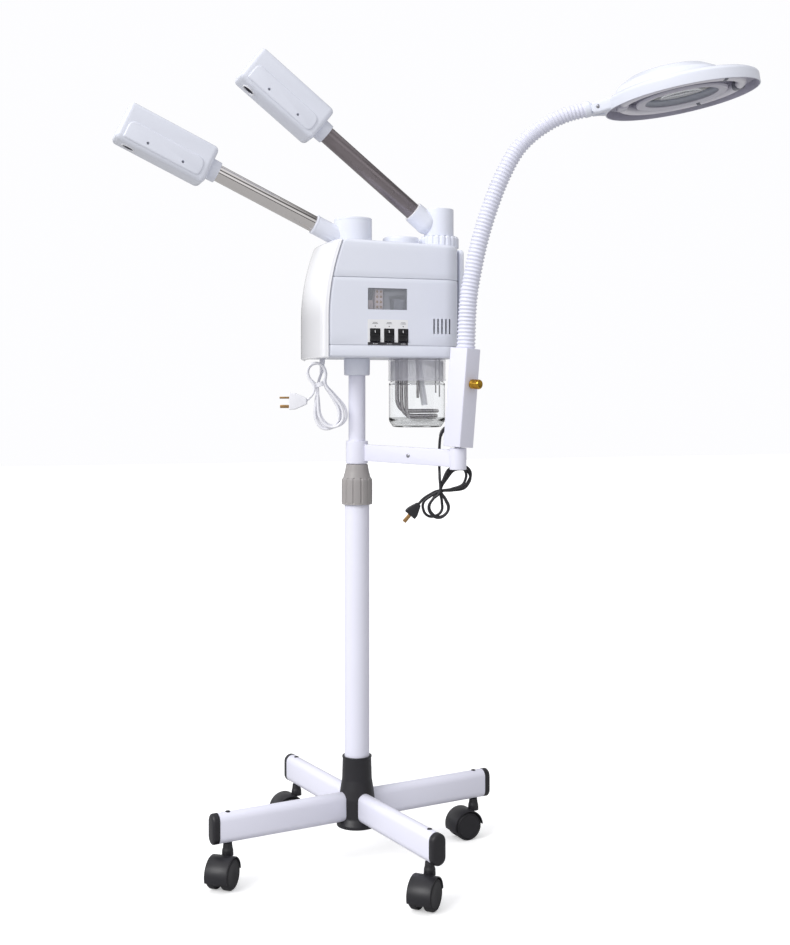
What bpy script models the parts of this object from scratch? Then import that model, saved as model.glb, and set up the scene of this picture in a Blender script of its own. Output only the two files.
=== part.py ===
"""Two-arm facial steamer with a gooseneck magnifier lamp, on a four-leg caster stand.

Metres, +Z up, floor at z = 0. +X runs from the front of the steamer head to its rear, so the
front arm points along -X. Every piece hangs on an empty that stands on its joint's axis.
"""
import math

import bmesh
import bpy
from mathutils import Matrix, Vector

GAP = 0.0003  # between pieces that touch
POLE = (-0.0960, 0.0632)  # the pole's axis, from the middle of the whole object's footprint

LEG_TURN = math.radians(11.2)
LEG_TIP = 0.270
LEG_WIDTH, LEG_HEIGHT, LEG_MIDDLE = 0.025, 0.050, 0.095
LEG_ROOT = 0.018
CAP_LENGTH = 0.0117
CASTER_REACH = 0.240
WHEEL_RADIUS, WHEEL_WIDTH, WHEEL_GAP = 0.025, 0.014, 0.012
CASTER_TRAIL = 0.019
CASTER_TURNS = (math.radians(7), math.radians(9), math.radians(53), math.radians(47))
CASTER_TOP = LEG_MIDDLE - LEG_HEIGHT / 2 - GAP

LOWER_POLE_RADIUS, UPPER_POLE_RADIUS = 0.0215, 0.0145
LOWER_POLE_TOP, UPPER_POLE_FOOT, UPPER_POLE_TOP = 0.660, 0.225, 0.8605
COLLAR_FOOT, COLLAR_TOP, COLLAR_RADIUS = 0.613, 0.682, 0.0265

HEAD_FRONT, HEAD_REAR, HEAD_HALF = -0.072, 0.168, 0.075
TRAY_FOOT, TRAY_TOP, BODY_TOP, HEAD_TOP = 0.864, 0.884, 0.9975, 1.063
REAR_DROP = 0.006  # the top is this much lower at the rear
REAR_CORNER, FRONT_CORNER = 0.035, 0.006
HEAD_WALL = 0.003
WINDOW = (-0.0040, 0.0657, 0.9443, 0.9802)
ROCKER_X, ROCKER_PITCH, ROCKER_Z = 0.0087, 0.0248, 0.9007
ROCKER_WIDTH, ROCKER_HEIGHT, ROCKER_PIVOT_DEPTH = 0.0168, 0.0225, 0.006
VENT_X, VENT_PITCH, VENT_COUNT, VENT_Z = 0.1143, 0.0072, 5, 0.9178

JAR_X, JAR_RADIUS, JAR_FOOT, JAR_TOP = 0.110, 0.049, 0.745, 0.8600
JAR_RING_FOOT, JAR_RING_TOP, JAR_RING_RADIUS = 0.824, 0.8635, 0.0505
FILLER_X = 0.080

ARM_TUBE_RADIUS, REAR_TUBE_RADIUS, ARM_WALL = 0.01425, 0.0150, 0.0012
FRONT_ARM_X, REAR_ARM_X = -0.007, 0.151
FRONT_ARM_RISE, REAR_ARM_RISE = math.radians(25.2), math.radians(38.5)
FRONT_LINE_Z = 1.0600
FRONT_TURRET_RADIUS, FRONT_TURRET_TOP = 0.0325, 1.105
REAR_TURRET_RADIUS, REAR_TURRET_FOOT, REAR_TURRET_TOP = 0.026, 1.0795, 1.128
LOCK_NUT_RADIUS = 0.035
ELBOW_X, ELBOW_Z, ELBOW_RADIUS = 0.126, 1.1036, 0.020
NOZZLE_LENGTH, NOZZLE_HEIGHT, NOZZLE_WIDTH = 0.1595, 0.066, 0.066
NOZZLE_WALL, OUTLET_RADIUS, OUTLET_FROM_TIP = 0.0028, 0.0105, 0.028
NOZZLE_NECK_RADIUS, NOZZLE_NECK_LENGTH, TUBE_IN_NOZZLE = 0.018, 0.016, 0.012
FRONT_NOZZLE_START, REAR_NOZZLE_START = 0.277, 0.2465

BRACKET_TURN = math.radians(-48.8)
BRACKET_RING_FOOT, BRACKET_RING_TOP = 0.683, 0.722
POST_REACH, POST_FOOT, POST_TOP = 0.196, 0.6775, 0.7132
LAMP_TURN = math.radians(-18.8)  # the way the gooseneck leans and the lamp points
BOX_LEAN = math.radians(4.3)
BOX_TURN = math.radians(-42)
BOX_SIDE, BOX_HEIGHT = 0.036, 0.163
NECK_FOOT_RADIUS, NECK_TOP_RADIUS = 0.0155, 0.0125
BALL_RADIUS, BEND_GAP = 0.0075, 0.0028
LAMP_TILT = math.radians(10)
LAMP_CENTRE = (0.3703, 1.288)  # from the post, and from the floor
LAMP_RADIUS, LAMP_WALL_HEIGHT = 0.1275, 0.021
PIVOT_X, PIVOT_Z = -0.141, 0.011
COVER_X, COVER_RADIUS = -0.018, 0.090


def clear_scene():
    for old in list(bpy.data.objects):
        bpy.data.objects.remove(old, do_unlink=True)


clear_scene()
PARTS = bpy.data.collections.new("facial_steamer")
CUTTERS = bpy.data.collections.new("cutters")
bpy.context.scene.collection.children.link(PARTS)
bpy.context.scene.collection.children.link(CUTTERS)


def finish(name, colour, roughness, metallic=0.0):
    material = bpy.data.materials.new(name)
    material.use_nodes = True
    shader = material.node_tree.nodes["Principled BSDF"]
    shader.inputs["Base Color"].default_value = (*colour, 1.0)
    shader.inputs["Roughness"].default_value = roughness
    shader.inputs["Metallic"].default_value = metallic
    return material


WHITE_PAINT = finish("white_paint", (0.75, 0.75, 0.84), 0.35)
WHITE_PLASTIC = finish("white_plastic", (0.80, 0.81, 0.86), 0.40)
BRIGHT_PLASTIC = finish("bright_plastic", (0.93, 0.93, 0.94), 0.35)
GREY_PLASTIC = finish("grey_plastic", (0.36, 0.34, 0.35), 0.5)
BLACK_PLASTIC = finish("black_plastic", (0.028, 0.027, 0.034), 0.45)
CHROME = finish("chrome", (0.80, 0.80, 0.82), 0.12, 1.0)
DARK_TUBE = finish("dark_tube", (0.16, 0.14, 0.15), 0.3)
BRASS = finish("brass", (0.52, 0.34, 0.05), 0.35, 1.0)
STEEL = finish("stainless_steel", (0.45, 0.45, 0.47), 0.3, 1.0)
CLEAR_GLASS = finish("clear_glass", (0.85, 0.88, 0.90), 0.05)
FROSTED = finish("frosted_plastic", (0.65, 0.64, 0.62), 0.5)


def anchor(name, place, turn=(0, 0, 0), parent=None):
    """An empty that stands on a joint's axis or carries a group of pieces."""
    empty = bpy.data.objects.new(name, None)
    empty.location = place
    empty.rotation_euler = turn
    empty.parent = parent
    PARTS.objects.link(empty)
    return empty


def place(obj, parent, at=(0, 0, 0), turn=(0, 0, 0), material=None, collection=PARTS):
    if obj.name not in collection.objects:
        collection.objects.link(obj)
    obj.parent = parent
    obj.location = at
    obj.rotation_euler = turn
    if material:
        obj.data.materials.clear()
        obj.data.materials.append(material)
    return obj


def turned(name, profile, parent, at=(0, 0, 0), turn=(0, 0, 0), material=None, ring=False, steps=24):
    """A profile of (radius, height) points, top to bottom down the outside, spun about Z."""
    mesh = bpy.data.meshes.new(name)
    count = len(profile)
    edges = [(i, i + 1) for i in range(count - 1)]
    if ring:
        edges.append((count - 1, 0))
    mesh.from_pydata([(r, 0, z) for r, z in profile], edges, [])
    obj = bpy.data.objects.new(name, mesh)
    screw = obj.modifiers.new("turn", "SCREW")
    screw.steps = steps
    screw.render_steps = steps
    screw.use_merge_vertices = True
    screw.merge_threshold = 0.00001
    return place(obj, parent, at, turn, material)


def block(name, size, parent, at=(0, 0, 0), turn=(0, 0, 0), material=None, bevel=0.0, segments=1):
    mesh = bpy.data.meshes.new(name)
    shape = bmesh.new()
    bmesh.ops.create_cube(shape, size=1.0, matrix=Matrix.Diagonal((*size, 1.0)))
    shape.to_mesh(mesh)
    shape.free()
    obj = bpy.data.objects.new(name, mesh)
    if bevel:
        round_edges(obj, bevel, segments)
    return place(obj, parent, at, turn, material)


def rod(name, radius, length, parent, at=(0, 0, 0), turn=(0, 0, 0), material=None, sides=16, far=None):
    """A cylinder, or a cone with another radius at its far end, centred on its middle, along Z."""
    mesh = bpy.data.meshes.new(name)
    shape = bmesh.new()
    bmesh.ops.create_cone(
        shape, cap_ends=True, segments=sides, radius1=radius, radius2=far or radius, depth=length
    )
    shape.to_mesh(mesh)
    shape.free()
    return place(bpy.data.objects.new(name, mesh), parent, at, turn, material)


def ball(name, radius, parent, at=(0, 0, 0), turn=(0, 0, 0), material=None, sides=10):
    mesh = bpy.data.meshes.new(name)
    shape = bmesh.new()
    bmesh.ops.create_uvsphere(shape, u_segments=sides, v_segments=sides // 2, radius=radius)
    shape.to_mesh(mesh)
    shape.free()
    return place(bpy.data.objects.new(name, mesh), parent, at, turn, material)


def round_edges(obj, width, segments=2, angle=30):
    bevel = obj.modifiers.new("round", "BEVEL")
    bevel.width = width
    bevel.segments = segments
    bevel.limit_method = "ANGLE"
    bevel.angle_limit = math.radians(angle)


def hollow(obj, wall):
    shell = obj.modifiers.new("wall", "SOLIDIFY")
    shell.thickness = wall
    shell.offset = -1.0


def settled(obj, weld=False):
    """The same object as a plain mesh, with its modifiers in it."""
    bpy.context.view_layer.update()
    graph = bpy.context.evaluated_depsgraph_get()
    mesh = bpy.data.meshes.new_from_object(obj.evaluated_get(graph))
    shape = bmesh.new()
    shape.from_mesh(mesh)
    if weld:
        bmesh.ops.remove_doubles(shape, verts=shape.verts, dist=0.00001)
    bmesh.ops.recalc_face_normals(shape, faces=shape.faces)
    shape.to_mesh(mesh)
    shape.free()
    name, parent, spot, turn = obj.name, obj.parent, obj.location.copy(), obj.rotation_euler.copy()
    home = obj.users_collection[0]
    bpy.data.objects.remove(obj, do_unlink=True)
    return place(bpy.data.objects.new(name, mesh), parent, spot, turn, None, home)


def flat(name, outline, thickness, parent, at=(0, 0, 0), turn=(0, 0, 0), material=None, fill="BOTH"):
    """An outline in its own XY plane, thickened evenly about that plane."""
    curve = bpy.data.curves.new(name, "CURVE")
    curve.dimensions = "2D"
    curve.fill_mode = fill
    curve.extrude = thickness / 2
    spline = curve.splines.new("POLY")
    spline.points.add(len(outline) - 1)
    for point, (x, y) in zip(spline.points, outline):
        point.co = (x, y, 0, 1)
    spline.use_cyclic_u = True
    obj = place(bpy.data.objects.new(name, curve), parent, at, turn, material)
    return settled(obj, weld=True)


def tube(name, points, radius, parent, at=(0, 0, 0), turn=(0, 0, 0), material=None, fine=2, radii=None):
    curve = bpy.data.curves.new(name, "CURVE")
    curve.dimensions = "3D"
    curve.bevel_depth = radius
    curve.bevel_resolution = fine
    curve.use_fill_caps = True
    spline = curve.splines.new("POLY")
    spline.points.add(len(points) - 1)
    for i, (point, spot) in enumerate(zip(spline.points, points)):
        point.co = (*spot, 1)
        point.radius = radii[i] if radii else 1.0
    return place(bpy.data.objects.new(name, curve), parent, at, turn, material)


def operate(target, tool, operation):
    """Cuts the target with the tool, or joins the tool to it."""
    for home in list(tool.users_collection):
        home.objects.unlink(tool)
    CUTTERS.objects.link(tool)
    tool.hide_render = True
    tool.display_type = "WIRE"
    change = target.modifiers.new(operation.lower(), "BOOLEAN")
    change.operation = operation
    change.object = tool
    return target


def cut(target, *tools):
    for tool in tools:
        operate(target, tool, "DIFFERENCE")
    return target


def join(target, *tools):
    for tool in tools:
        operate(target, tool, "UNION")
    return target


def arc(x, y, radius, start, end, steps):
    """Points of an arc about (x, y), its angles in degrees."""
    angles = [math.radians(start + (end - start) * i / steps) for i in range(steps + 1)]
    return [(x + radius * math.cos(a), y + radius * math.sin(a)) for a in angles]


def slab_outline(low_x, high_x, half, low_corner, high_corner, steps=(1, 4)):
    """A rectangle about the X axis, with its own corner radius at each end."""
    low_steps, high_steps = steps
    out = arc(high_x - high_corner, half - high_corner, high_corner, 0, 90, high_steps)
    out += arc(low_x + low_corner, half - low_corner, low_corner, 90, 180, low_steps)
    out += arc(low_x + low_corner, low_corner - half, low_corner, 180, 270, low_steps)
    out += arc(high_x - high_corner, high_corner - half, high_corner, 270, 360, high_steps)
    return out


def stadium(a, b, radius, steps=6):
    """The outline of a band with round ends from a to b."""
    way = math.degrees(math.atan2(b[1] - a[1], b[0] - a[0]))
    return arc(*b, radius, way - 90, way + 90, steps) + arc(*a, radius, way + 90, way + 270, steps)


def through(points, count):
    """Evenly many points of a smooth curve through the given ones."""
    knots = [Vector(p) for p in points]
    knots = [2 * knots[0] - knots[1]] + knots + [2 * knots[-1] - knots[-2]]
    spans = len(points) - 1
    found = []
    for i in range(count):
        t = spans * i / (count - 1)
        k = min(int(t), spans - 1)
        t -= k
        a, b, c, d = knots[k : k + 4]
        found.append(
            0.5 * (2 * b + (c - a) * t + (2 * a - 5 * b + 4 * c - d) * t**2 + (3 * b - a - 3 * c + d) * t**3)
        )
    return found


stand = anchor("stand", (*POLE, 0))


# ---- the stand: hub, legs, end caps and lower pole

def leg_section(spare=0.0):
    """The legs' flat-oval section, upright, in (across, up)."""
    radius = LEG_WIDTH / 2 + spare
    straight = LEG_HEIGHT / 2 - LEG_WIDTH / 2
    return arc(0, straight, radius, 0, 180, 6) + arc(0, -straight, radius, 180, 360, 6)


def leg_bar(name, start, end, spare, fill, angle):
    """A length of the leg section, pointing out from the pole at an angle."""
    middle = (start + end) / 2
    spot = (middle * math.cos(angle), middle * math.sin(angle), LEG_MIDDLE)
    turn = (math.pi / 2, 0, angle + math.pi / 2)
    return flat(name, leg_section(spare), end - start, stand, spot, turn, fill=fill)


HUB_PROFILE = (
    (0.0, 0.1247), (0.0222, 0.1247), (0.0222, 0.180), (0.0255, 0.180), (0.0258, 0.140),
    (0.0285, 0.124), (0.0305, 0.108), (0.0305, 0.070), (0.0350, 0.064), (0.0350, 0.060), (0.0, 0.060),
)
base_hub = turned("base_hub", HUB_PROFILE, stand, material=BLACK_PLASTIC)
for number in range(4):
    angle = LEG_TURN + number * math.pi / 2
    cut(base_hub, leg_bar(f"leg_pocket_{number + 1}", LEG_ROOT - GAP, 0.060, GAP, "BOTH", angle))
    leg = leg_bar(f"leg_{number + 1}", LEG_ROOT, LEG_TIP - CAP_LENGTH - GAP, 0.0, "NONE", angle)
    hollow(leg, 0.0016)
    leg.data.materials.append(WHITE_PAINT)
    cap = leg_bar(f"leg_cap_{number + 1}", LEG_TIP - CAP_LENGTH, LEG_TIP, 0.0004, "BOTH", angle)
    cap.data.materials.append(BLACK_PLASTIC)

POLE_BUSH = 0.0151  # the nylon guide at the lower pole's mouth
LOWER_POLE_PROFILE = (
    (POLE_BUSH, LOWER_POLE_TOP), (LOWER_POLE_RADIUS, LOWER_POLE_TOP), (LOWER_POLE_RADIUS, 0.1250),
    (0.0199, 0.1250), (0.0199, 0.560), (POLE_BUSH, 0.565),
)
turned("lower_pole", LOWER_POLE_PROFILE, stand, material=WHITE_PAINT, ring=True)


# ---- casters: a hood that swivels under each leg tip, and a pair of wheels on one axle

def caster_hood_mesh():
    """The web between the wheels, the hood over them, and the neck that turns under the leg."""
    width = 2 * WHEEL_WIDTH + WHEEL_GAP
    cover_radius = WHEEL_RADIUS + 0.0035
    outer = arc(0, 0, cover_radius, 5, 200, 8)
    inner = arc(0, 0, WHEEL_RADIUS + 0.0012, 200, 5, 8)
    upright = (math.pi / 2, 0, 0)
    hood = flat("caster_hood", outer + inner, width, None, (-CASTER_TRAIL, 0, WHEEL_RADIUS), upright)
    web_side = arc(0, 0, WHEEL_RADIUS + 0.0017, 0, 210, 9) + arc(0, 0, 0.012, 225, 345, 4)
    web = flat("caster_web", web_side, WHEEL_GAP - 0.002, None, (-CASTER_TRAIL, 0, WHEEL_RADIUS), upright)
    neck = rod("caster_neck", 0.0092, 0.021, None, (0, 0, CASTER_TOP - 0.0105), sides=12, far=0.008)
    bore = rod("caster_bore", 0.0033, 0.05, None, (-CASTER_TRAIL, 0, WHEEL_RADIUS), upright, sides=8)
    join(hood, web, neck)
    cut(hood, bore)
    return settled(hood)


def caster_wheels_mesh():
    """Two wheels on the axle between them."""
    half, outer = WHEEL_GAP / 2, WHEEL_GAP / 2 + WHEEL_WIDTH
    profile = [
        (0, outer), (WHEEL_RADIUS - 0.002, outer), (WHEEL_RADIUS, outer - 0.002),
        (WHEEL_RADIUS, half), (0.003, half),
    ]
    profile += [(r, -z) for r, z in reversed(profile)]
    wheels = turned("caster_wheels", profile, None, steps=20)
    return settled(wheels)


hood_pattern = caster_hood_mesh()
wheels_pattern = caster_wheels_mesh()
for number, swivel in enumerate(CASTER_TURNS, 1):
    angle = LEG_TURN + (number - 1) * math.pi / 2
    spot = (CASTER_REACH * math.cos(angle), CASTER_REACH * math.sin(angle), 0)
    pivot = anchor(f"caster_swivel_{number}", spot, (0, 0, swivel), stand)
    hood = bpy.data.objects.new(f"caster_hood_{number}", hood_pattern.data)
    place(hood, pivot, (-CASTER_TRAIL, 0, WHEEL_RADIUS), (math.pi / 2, 0, 0), BLACK_PLASTIC)
    wheels = bpy.data.objects.new(f"caster_wheels_{number}", wheels_pattern.data)
    place(wheels, pivot, (-CASTER_TRAIL, 0, WHEEL_RADIUS), (math.pi / 2, 0, 0), BLACK_PLASTIC)
bpy.data.objects.remove(hood_pattern, do_unlink=True)
bpy.data.objects.remove(wheels_pattern, do_unlink=True)


# ---- height: the clamp collar and the sliding upper pole

collar_pivot = anchor("collar_axis", (0, 0, COLLAR_FOOT), parent=stand)
COLLAR_PROFILE = (
    (0.0153, 0.069), (0.0190, 0.069), (0.0200, 0.060), (0.0240, 0.046), (COLLAR_RADIUS, 0.044),
    (COLLAR_RADIUS, 0.001), (COLLAR_RADIUS - 0.001, 0.0), (0.0219, 0.0), (0.0219, 0.0485), (0.0153, 0.0485),
)
height_collar = turned("height_collar", COLLAR_PROFILE, collar_pivot, material=GREY_PLASTIC, ring=True)
flutes = 8
for flute in range(flutes):
    angle = 2 * math.pi * flute / flutes
    spot = (0.0275 * math.cos(angle), 0.0275 * math.sin(angle), 0.021)
    cut(height_collar, rod(f"collar_flute_{flute}", 0.0024, 0.036, collar_pivot, spot, sides=8))

slide = anchor("pole_slide", (0, 0, 0), parent=stand)
UPPER_POLE_PROFILE = (
    (0.0130, UPPER_POLE_TOP), (UPPER_POLE_RADIUS, UPPER_POLE_TOP),
    (UPPER_POLE_RADIUS, UPPER_POLE_FOOT), (0.0130, UPPER_POLE_FOOT),
)
turned("upper_pole", UPPER_POLE_PROFILE, slide, material=WHITE_PAINT, ring=True)


# ---- the steamer head, which turns on the pole's top

head = anchor("head_axis", (0, 0, 0), parent=slide)
SOCKET_PROFILE = (
    (0.0, 0.8636), (0.0225, 0.8636), (0.0225, 0.8362), (0.0213, 0.8350),
    (0.0148, 0.8350), (0.0148, 0.8608), (0.0, 0.8608),
)
turned("pole_socket", SOCKET_PROFILE, head, material=WHITE_PLASTIC)


def head_outline(front=HEAD_FRONT):
    return slab_outline(front, HEAD_REAR, HEAD_HALF, FRONT_CORNER, REAR_CORNER)


def front_lean(height):
    """How far the head's front has leaned back at this height."""
    over = max(0.0, height - 0.93) / (HEAD_TOP - 0.93)
    return 0.025 * over**2


def head_shell(name, low, high, levels, roof):
    """A length of the head's wall: its front leans back with height, and its top falls to the rear."""
    mesh = bpy.data.meshes.new(name)
    shape = bmesh.new()
    loops = []
    for level in range(levels + 1):
        height = low + (high - low) * level / levels
        drop = REAR_DROP * level / levels if roof else 0.0
        loops.append([
            shape.verts.new((x, y, height - drop * (x - HEAD_FRONT) / (HEAD_REAR - HEAD_FRONT)))
            for x, y in head_outline(HEAD_FRONT + front_lean(height))
        ])
    for lower_loop, upper_loop in zip(loops, loops[1:]):
        for i in range(len(lower_loop)):
            shape.faces.new((lower_loop[i - 1], lower_loop[i], upper_loop[i], upper_loop[i - 1]))
    if roof:
        shape.faces.new(loops[-1])
    bmesh.ops.recalc_face_normals(shape, faces=shape.faces)
    shape.to_mesh(mesh)
    shape.free()
    obj = place(bpy.data.objects.new(name, mesh), head)
    if roof:
        round_edges(obj, 0.006, 2, 50)
    hollow(obj, HEAD_WALL)
    obj = settled(obj)
    obj.data.materials.append(WHITE_PLASTIC)
    return obj


base_tray = flat("base_tray", head_outline(), TRAY_TOP - TRAY_FOOT, head,
                 (0, 0, (TRAY_FOOT + TRAY_TOP) / 2), fill="BACK")
round_edges(base_tray, 0.004, 1)
hollow(base_tray, HEAD_WALL)
base_tray = settled(base_tray)
base_tray.data.materials.append(WHITE_PLASTIC)
cut(base_tray, rod("jar_hole", 0.0445, 0.02, head, (JAR_X, 0, TRAY_FOOT), sides=28))

body_shell = head_shell("body_shell", TRAY_TOP + GAP, BODY_TOP, 3, False)
window_size = (WINDOW[1] - WINDOW[0], 0.02, WINDOW[3] - WINDOW[2])
window_middle = ((WINDOW[0] + WINDOW[1]) / 2, -HEAD_HALF, (WINDOW[2] + WINDOW[3]) / 2)
cut(body_shell, block("window_hole", window_size, head, window_middle))
for number in range(3):
    spot = (ROCKER_X + number * ROCKER_PITCH, -HEAD_HALF, ROCKER_Z)
    size = (ROCKER_WIDTH + 0.001, 0.02, ROCKER_HEIGHT + 0.001)
    cut(body_shell, block(f"rocker_hole_{number + 1}", size, head, spot))
for number in range(VENT_COUNT):
    spot = (VENT_X + number * VENT_PITCH, -HEAD_HALF, VENT_Z)
    cut(body_shell, block(f"vent_slot_{number + 1}", (0.003, 0.03, 0.026), head, spot))

block("window_pane", (window_size[0] - 2 * GAP, 0.002, window_size[2] - 2 * GAP), head,
      (window_middle[0], -HEAD_HALF + 0.0014, window_middle[2]), material=CLEAR_GLASS)

for number in range(3):
    spot = (ROCKER_X + number * ROCKER_PITCH, ROCKER_PIVOT_DEPTH - HEAD_HALF, ROCKER_Z)
    pivot = anchor(f"rocker_pivot_{number + 1}", spot, (math.radians(-8), 0, 0), head)
    half_height = ROCKER_HEIGHT / 2 - 0.0004
    side = [(-0.0075, half_height - 0.0025), (-0.0064, 0), (-0.0075, 0.0025 - half_height),
            (-0.0065, -half_height + 0.0003), (0.004, -0.006), (0.004, 0.006), (-0.0065, half_height - 0.0003)]
    turn = (math.pi / 2, 0, math.pi / 2)
    rocker = flat(f"rocker_{number + 1}", side, ROCKER_WIDTH, pivot, (0, 0, 0), turn)
    rocker.data.materials.append(BLACK_PLASTIC)


top_shell = head_shell("top_shell", BODY_TOP + GAP, HEAD_TOP, 3, True)
for name, x, radius in (("front_steam_hole", FRONT_ARM_X, 0.012), ("filler_hole", FILLER_X, 0.024),
                        ("rear_steam_hole", REAR_ARM_X, 0.009)):
    cut(top_shell, rod(name, radius, 0.03, head, (x, 0, HEAD_TOP), sides=20))


def front_cover_outline(height):
    """The cover's own line at a height: a shallow bow across the front, rounded into short sides."""
    lean = front_lean(height)
    back, face = HEAD_FRONT + lean - GAP, HEAD_FRONT + lean - 0.0095
    line = [(back, HEAD_HALF)]
    line += arc(face + 0.008, HEAD_HALF - 0.008, 0.008, 90, 165, 2)
    for step in range(1, 6):
        across = HEAD_HALF * (1 - step / 3) * 0.86
        line.append((face - 0.0045 * (1 - (across / HEAD_HALF) ** 2), across))
    line += [(x, -y) for x, y in reversed(arc(face + 0.008, HEAD_HALF - 0.008, 0.008, 90, 165, 2))]
    line.append((back, -HEAD_HALF))
    return line


shape = bmesh.new()
rows = []
heights = (0.8620, 0.9300, 0.9750, 1.0050, 1.0350, 1.0610)
for height in heights:
    rows.append([shape.verts.new((x, y, height)) for x, y in front_cover_outline(height)])
for low, high in zip(rows, rows[1:]):
    for i in range(len(low) - 1):
        shape.faces.new((low[i], low[i + 1], high[i + 1], high[i]))
mesh = bpy.data.meshes.new("front_cover")
shape.faces.new([*reversed(rows[-1])])
bmesh.ops.recalc_face_normals(shape, faces=shape.faces)
shape.to_mesh(mesh)
shape.free()
front_cover = place(bpy.data.objects.new("front_cover", mesh), head, material=BRIGHT_PLASTIC)
hollow(front_cover, 0.0025)

rear_cover = flat("rear_cover", slab_outline(-0.084, 0.084, 0.055, 0.010, 0.010, (2, 2)), 0.009,
                  head, (HEAD_REAR + 0.0045 + GAP, 0, 0.9690), (0, -math.pi / 2, 0))
rear_cover.data.materials.append(WHITE_PLASTIC)


# ---- water side: manifold, heater, probe, jar and its screw ring

MANIFOLD_PROFILE = (
    (0.0, 0.8800), (0.0438, 0.8800), (0.0438, 0.8640), (0.0, 0.8640),
)
manifold = turned("steam_manifold", MANIFOLD_PROFILE, head, (JAR_X, 0, 0))
manifold = settled(manifold)
manifold.data.materials.append(WHITE_PLASTIC)
riser = rod("manifold_riser", 0.010, 0.145, head, (REAR_ARM_X - 0.012, 0, 0.9475), sides=20)
branch = rod("manifold_branch", 0.009, 0.060, head, (REAR_ARM_X - 0.042, 0, 0.955), (0, math.pi / 2, 0))
join(manifold, riser, branch)

coil_mid = 0.7655
route = [(-0.032, -0.006, JAR_TOP + 0.0033), (-0.032, -0.006, 0.800), (-0.030, -0.010, 0.772)]
for step in range(9):
    angle = math.radians(200 + 45 * step)
    route.append((0.026 * math.cos(angle), 0.026 * math.sin(angle), coil_mid - 0.001 * step))
route += [(-0.028, 0.010, 0.774), (-0.030, 0.006, 0.800), (-0.030, 0.006, JAR_TOP + 0.0033)]
tube("heater_coil", through(route, 34), 0.0035, head, (JAR_X, 0, 0), material=STEEL, fine=1)
tube("sensor_tube", [(-0.004, -0.024, JAR_TOP + 0.0033), (0.006, -0.020, 0.7745)], 0.0042, head,
     (JAR_X, 0, 0), material=BRIGHT_PLASTIC)

jar_slide = anchor("jar_slide", (JAR_X, 0, 0), parent=head)
JAR_PROFILE = (
    (0.0, 0.7490), (0.0375, 0.7490), (0.0455, 0.7600), (0.0455, 0.8200), (0.0430, 0.8240),
    (0.0430, JAR_TOP), (0.0460, JAR_TOP), (0.0460, 0.8255), (JAR_RADIUS, 0.8225), (JAR_RADIUS, 0.7570),
    (0.0400, JAR_FOOT), (0.0, JAR_FOOT),
)
turned("water_jar", JAR_PROFILE, jar_slide, material=CLEAR_GLASS, steps=28)
JAR_RING_PROFILE = (
    (0.0464, JAR_RING_TOP), (0.0495, JAR_RING_TOP), (JAR_RING_RADIUS, JAR_RING_TOP - 0.001),
    (JAR_RING_RADIUS, 0.8265), (0.0500, JAR_RING_FOOT + 0.0018), (0.0464, 0.8262),
)
turned("jar_ring", JAR_RING_PROFILE, jar_slide, material=FROSTED, ring=True, steps=28)

filler_axis = anchor("filler_axis", (FILLER_X, 0, 1.0612), parent=head)
FILLER_PROFILE = (
    (0.0, 0.0140), (0.0290, 0.0140), (0.0315, 0.0115), (0.0315, 0.0),
    (0.0236, 0.0), (0.0236, -0.009), (0.0, -0.009),
)
turned("filler_cap", FILLER_PROFILE, filler_axis, material=WHITE_PLASTIC)


# ---- the two arms: turret, tube and a nozzle head in two halves

def pipe(name, radius, wall, start, end, line, material):
    """A round tube from one distance to another along an arm's own X axis."""
    profile = ((radius - wall, end), (radius, end), (radius, start), (radius - wall, start))
    return turned(name, profile, line, turn=(0, math.pi / 2, 0), material=material, ring=True, steps=20)


def nozzle_half(name, side, line, start, bore):
    """One half of a nozzle head and its neck, split along the arm's upright plane."""
    half = NOZZLE_WIDTH / 2
    mesh = bpy.data.meshes.new(name)
    shape = bmesh.new()
    size = (NOZZLE_LENGTH, half - GAP / 2, NOZZLE_HEIGHT)
    bmesh.ops.create_cube(shape, size=1.0, matrix=Matrix.Diagonal((*size, 1.0)))
    open_side = [f for f in shape.faces if f.normal.y * side < -0.5]
    bmesh.ops.delete(shape, geom=open_side, context="FACES")
    shape.to_mesh(mesh)
    shape.free()
    obj = bpy.data.objects.new(name, mesh)
    middle = (start + NOZZLE_LENGTH / 2, side * (half / 2 + GAP / 4), 0)
    place(obj, line, middle)
    round_edges(obj, 0.007, 2)
    hollow(obj, NOZZLE_WALL)
    obj = settled(obj)
    obj.data.materials.append(WHITE_PLASTIC)
    way = 0 if side > 0 else 180
    neck_outline = arc(0, 0, NOZZLE_NECK_RADIUS, way - 89, way + 89, 8)
    neck_outline += arc(0, 0, 0.012, way + 89, way - 89, 8)
    neck = flat(f"{name}_neck", neck_outline, NOZZLE_NECK_LENGTH + 0.001, line,
                (start + 0.0005 - NOZZLE_NECK_LENGTH / 2, 0, 0), (math.pi / 2, 0, math.pi / 2))
    bore = rod(f"{name}_bore", bore + GAP, 0.045, line, (start - 0.001, 0, 0), (0, math.pi / 2, 0), sides=20)
    outlet_spot = (start + NOZZLE_LENGTH - OUTLET_FROM_TIP, 0, -NOZZLE_HEIGHT / 2)
    outlet = rod(f"{name}_outlet", OUTLET_RADIUS, 0.03, line, outlet_spot, sides=16)
    join(obj, neck)
    cut(obj, bore, outlet)


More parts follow.
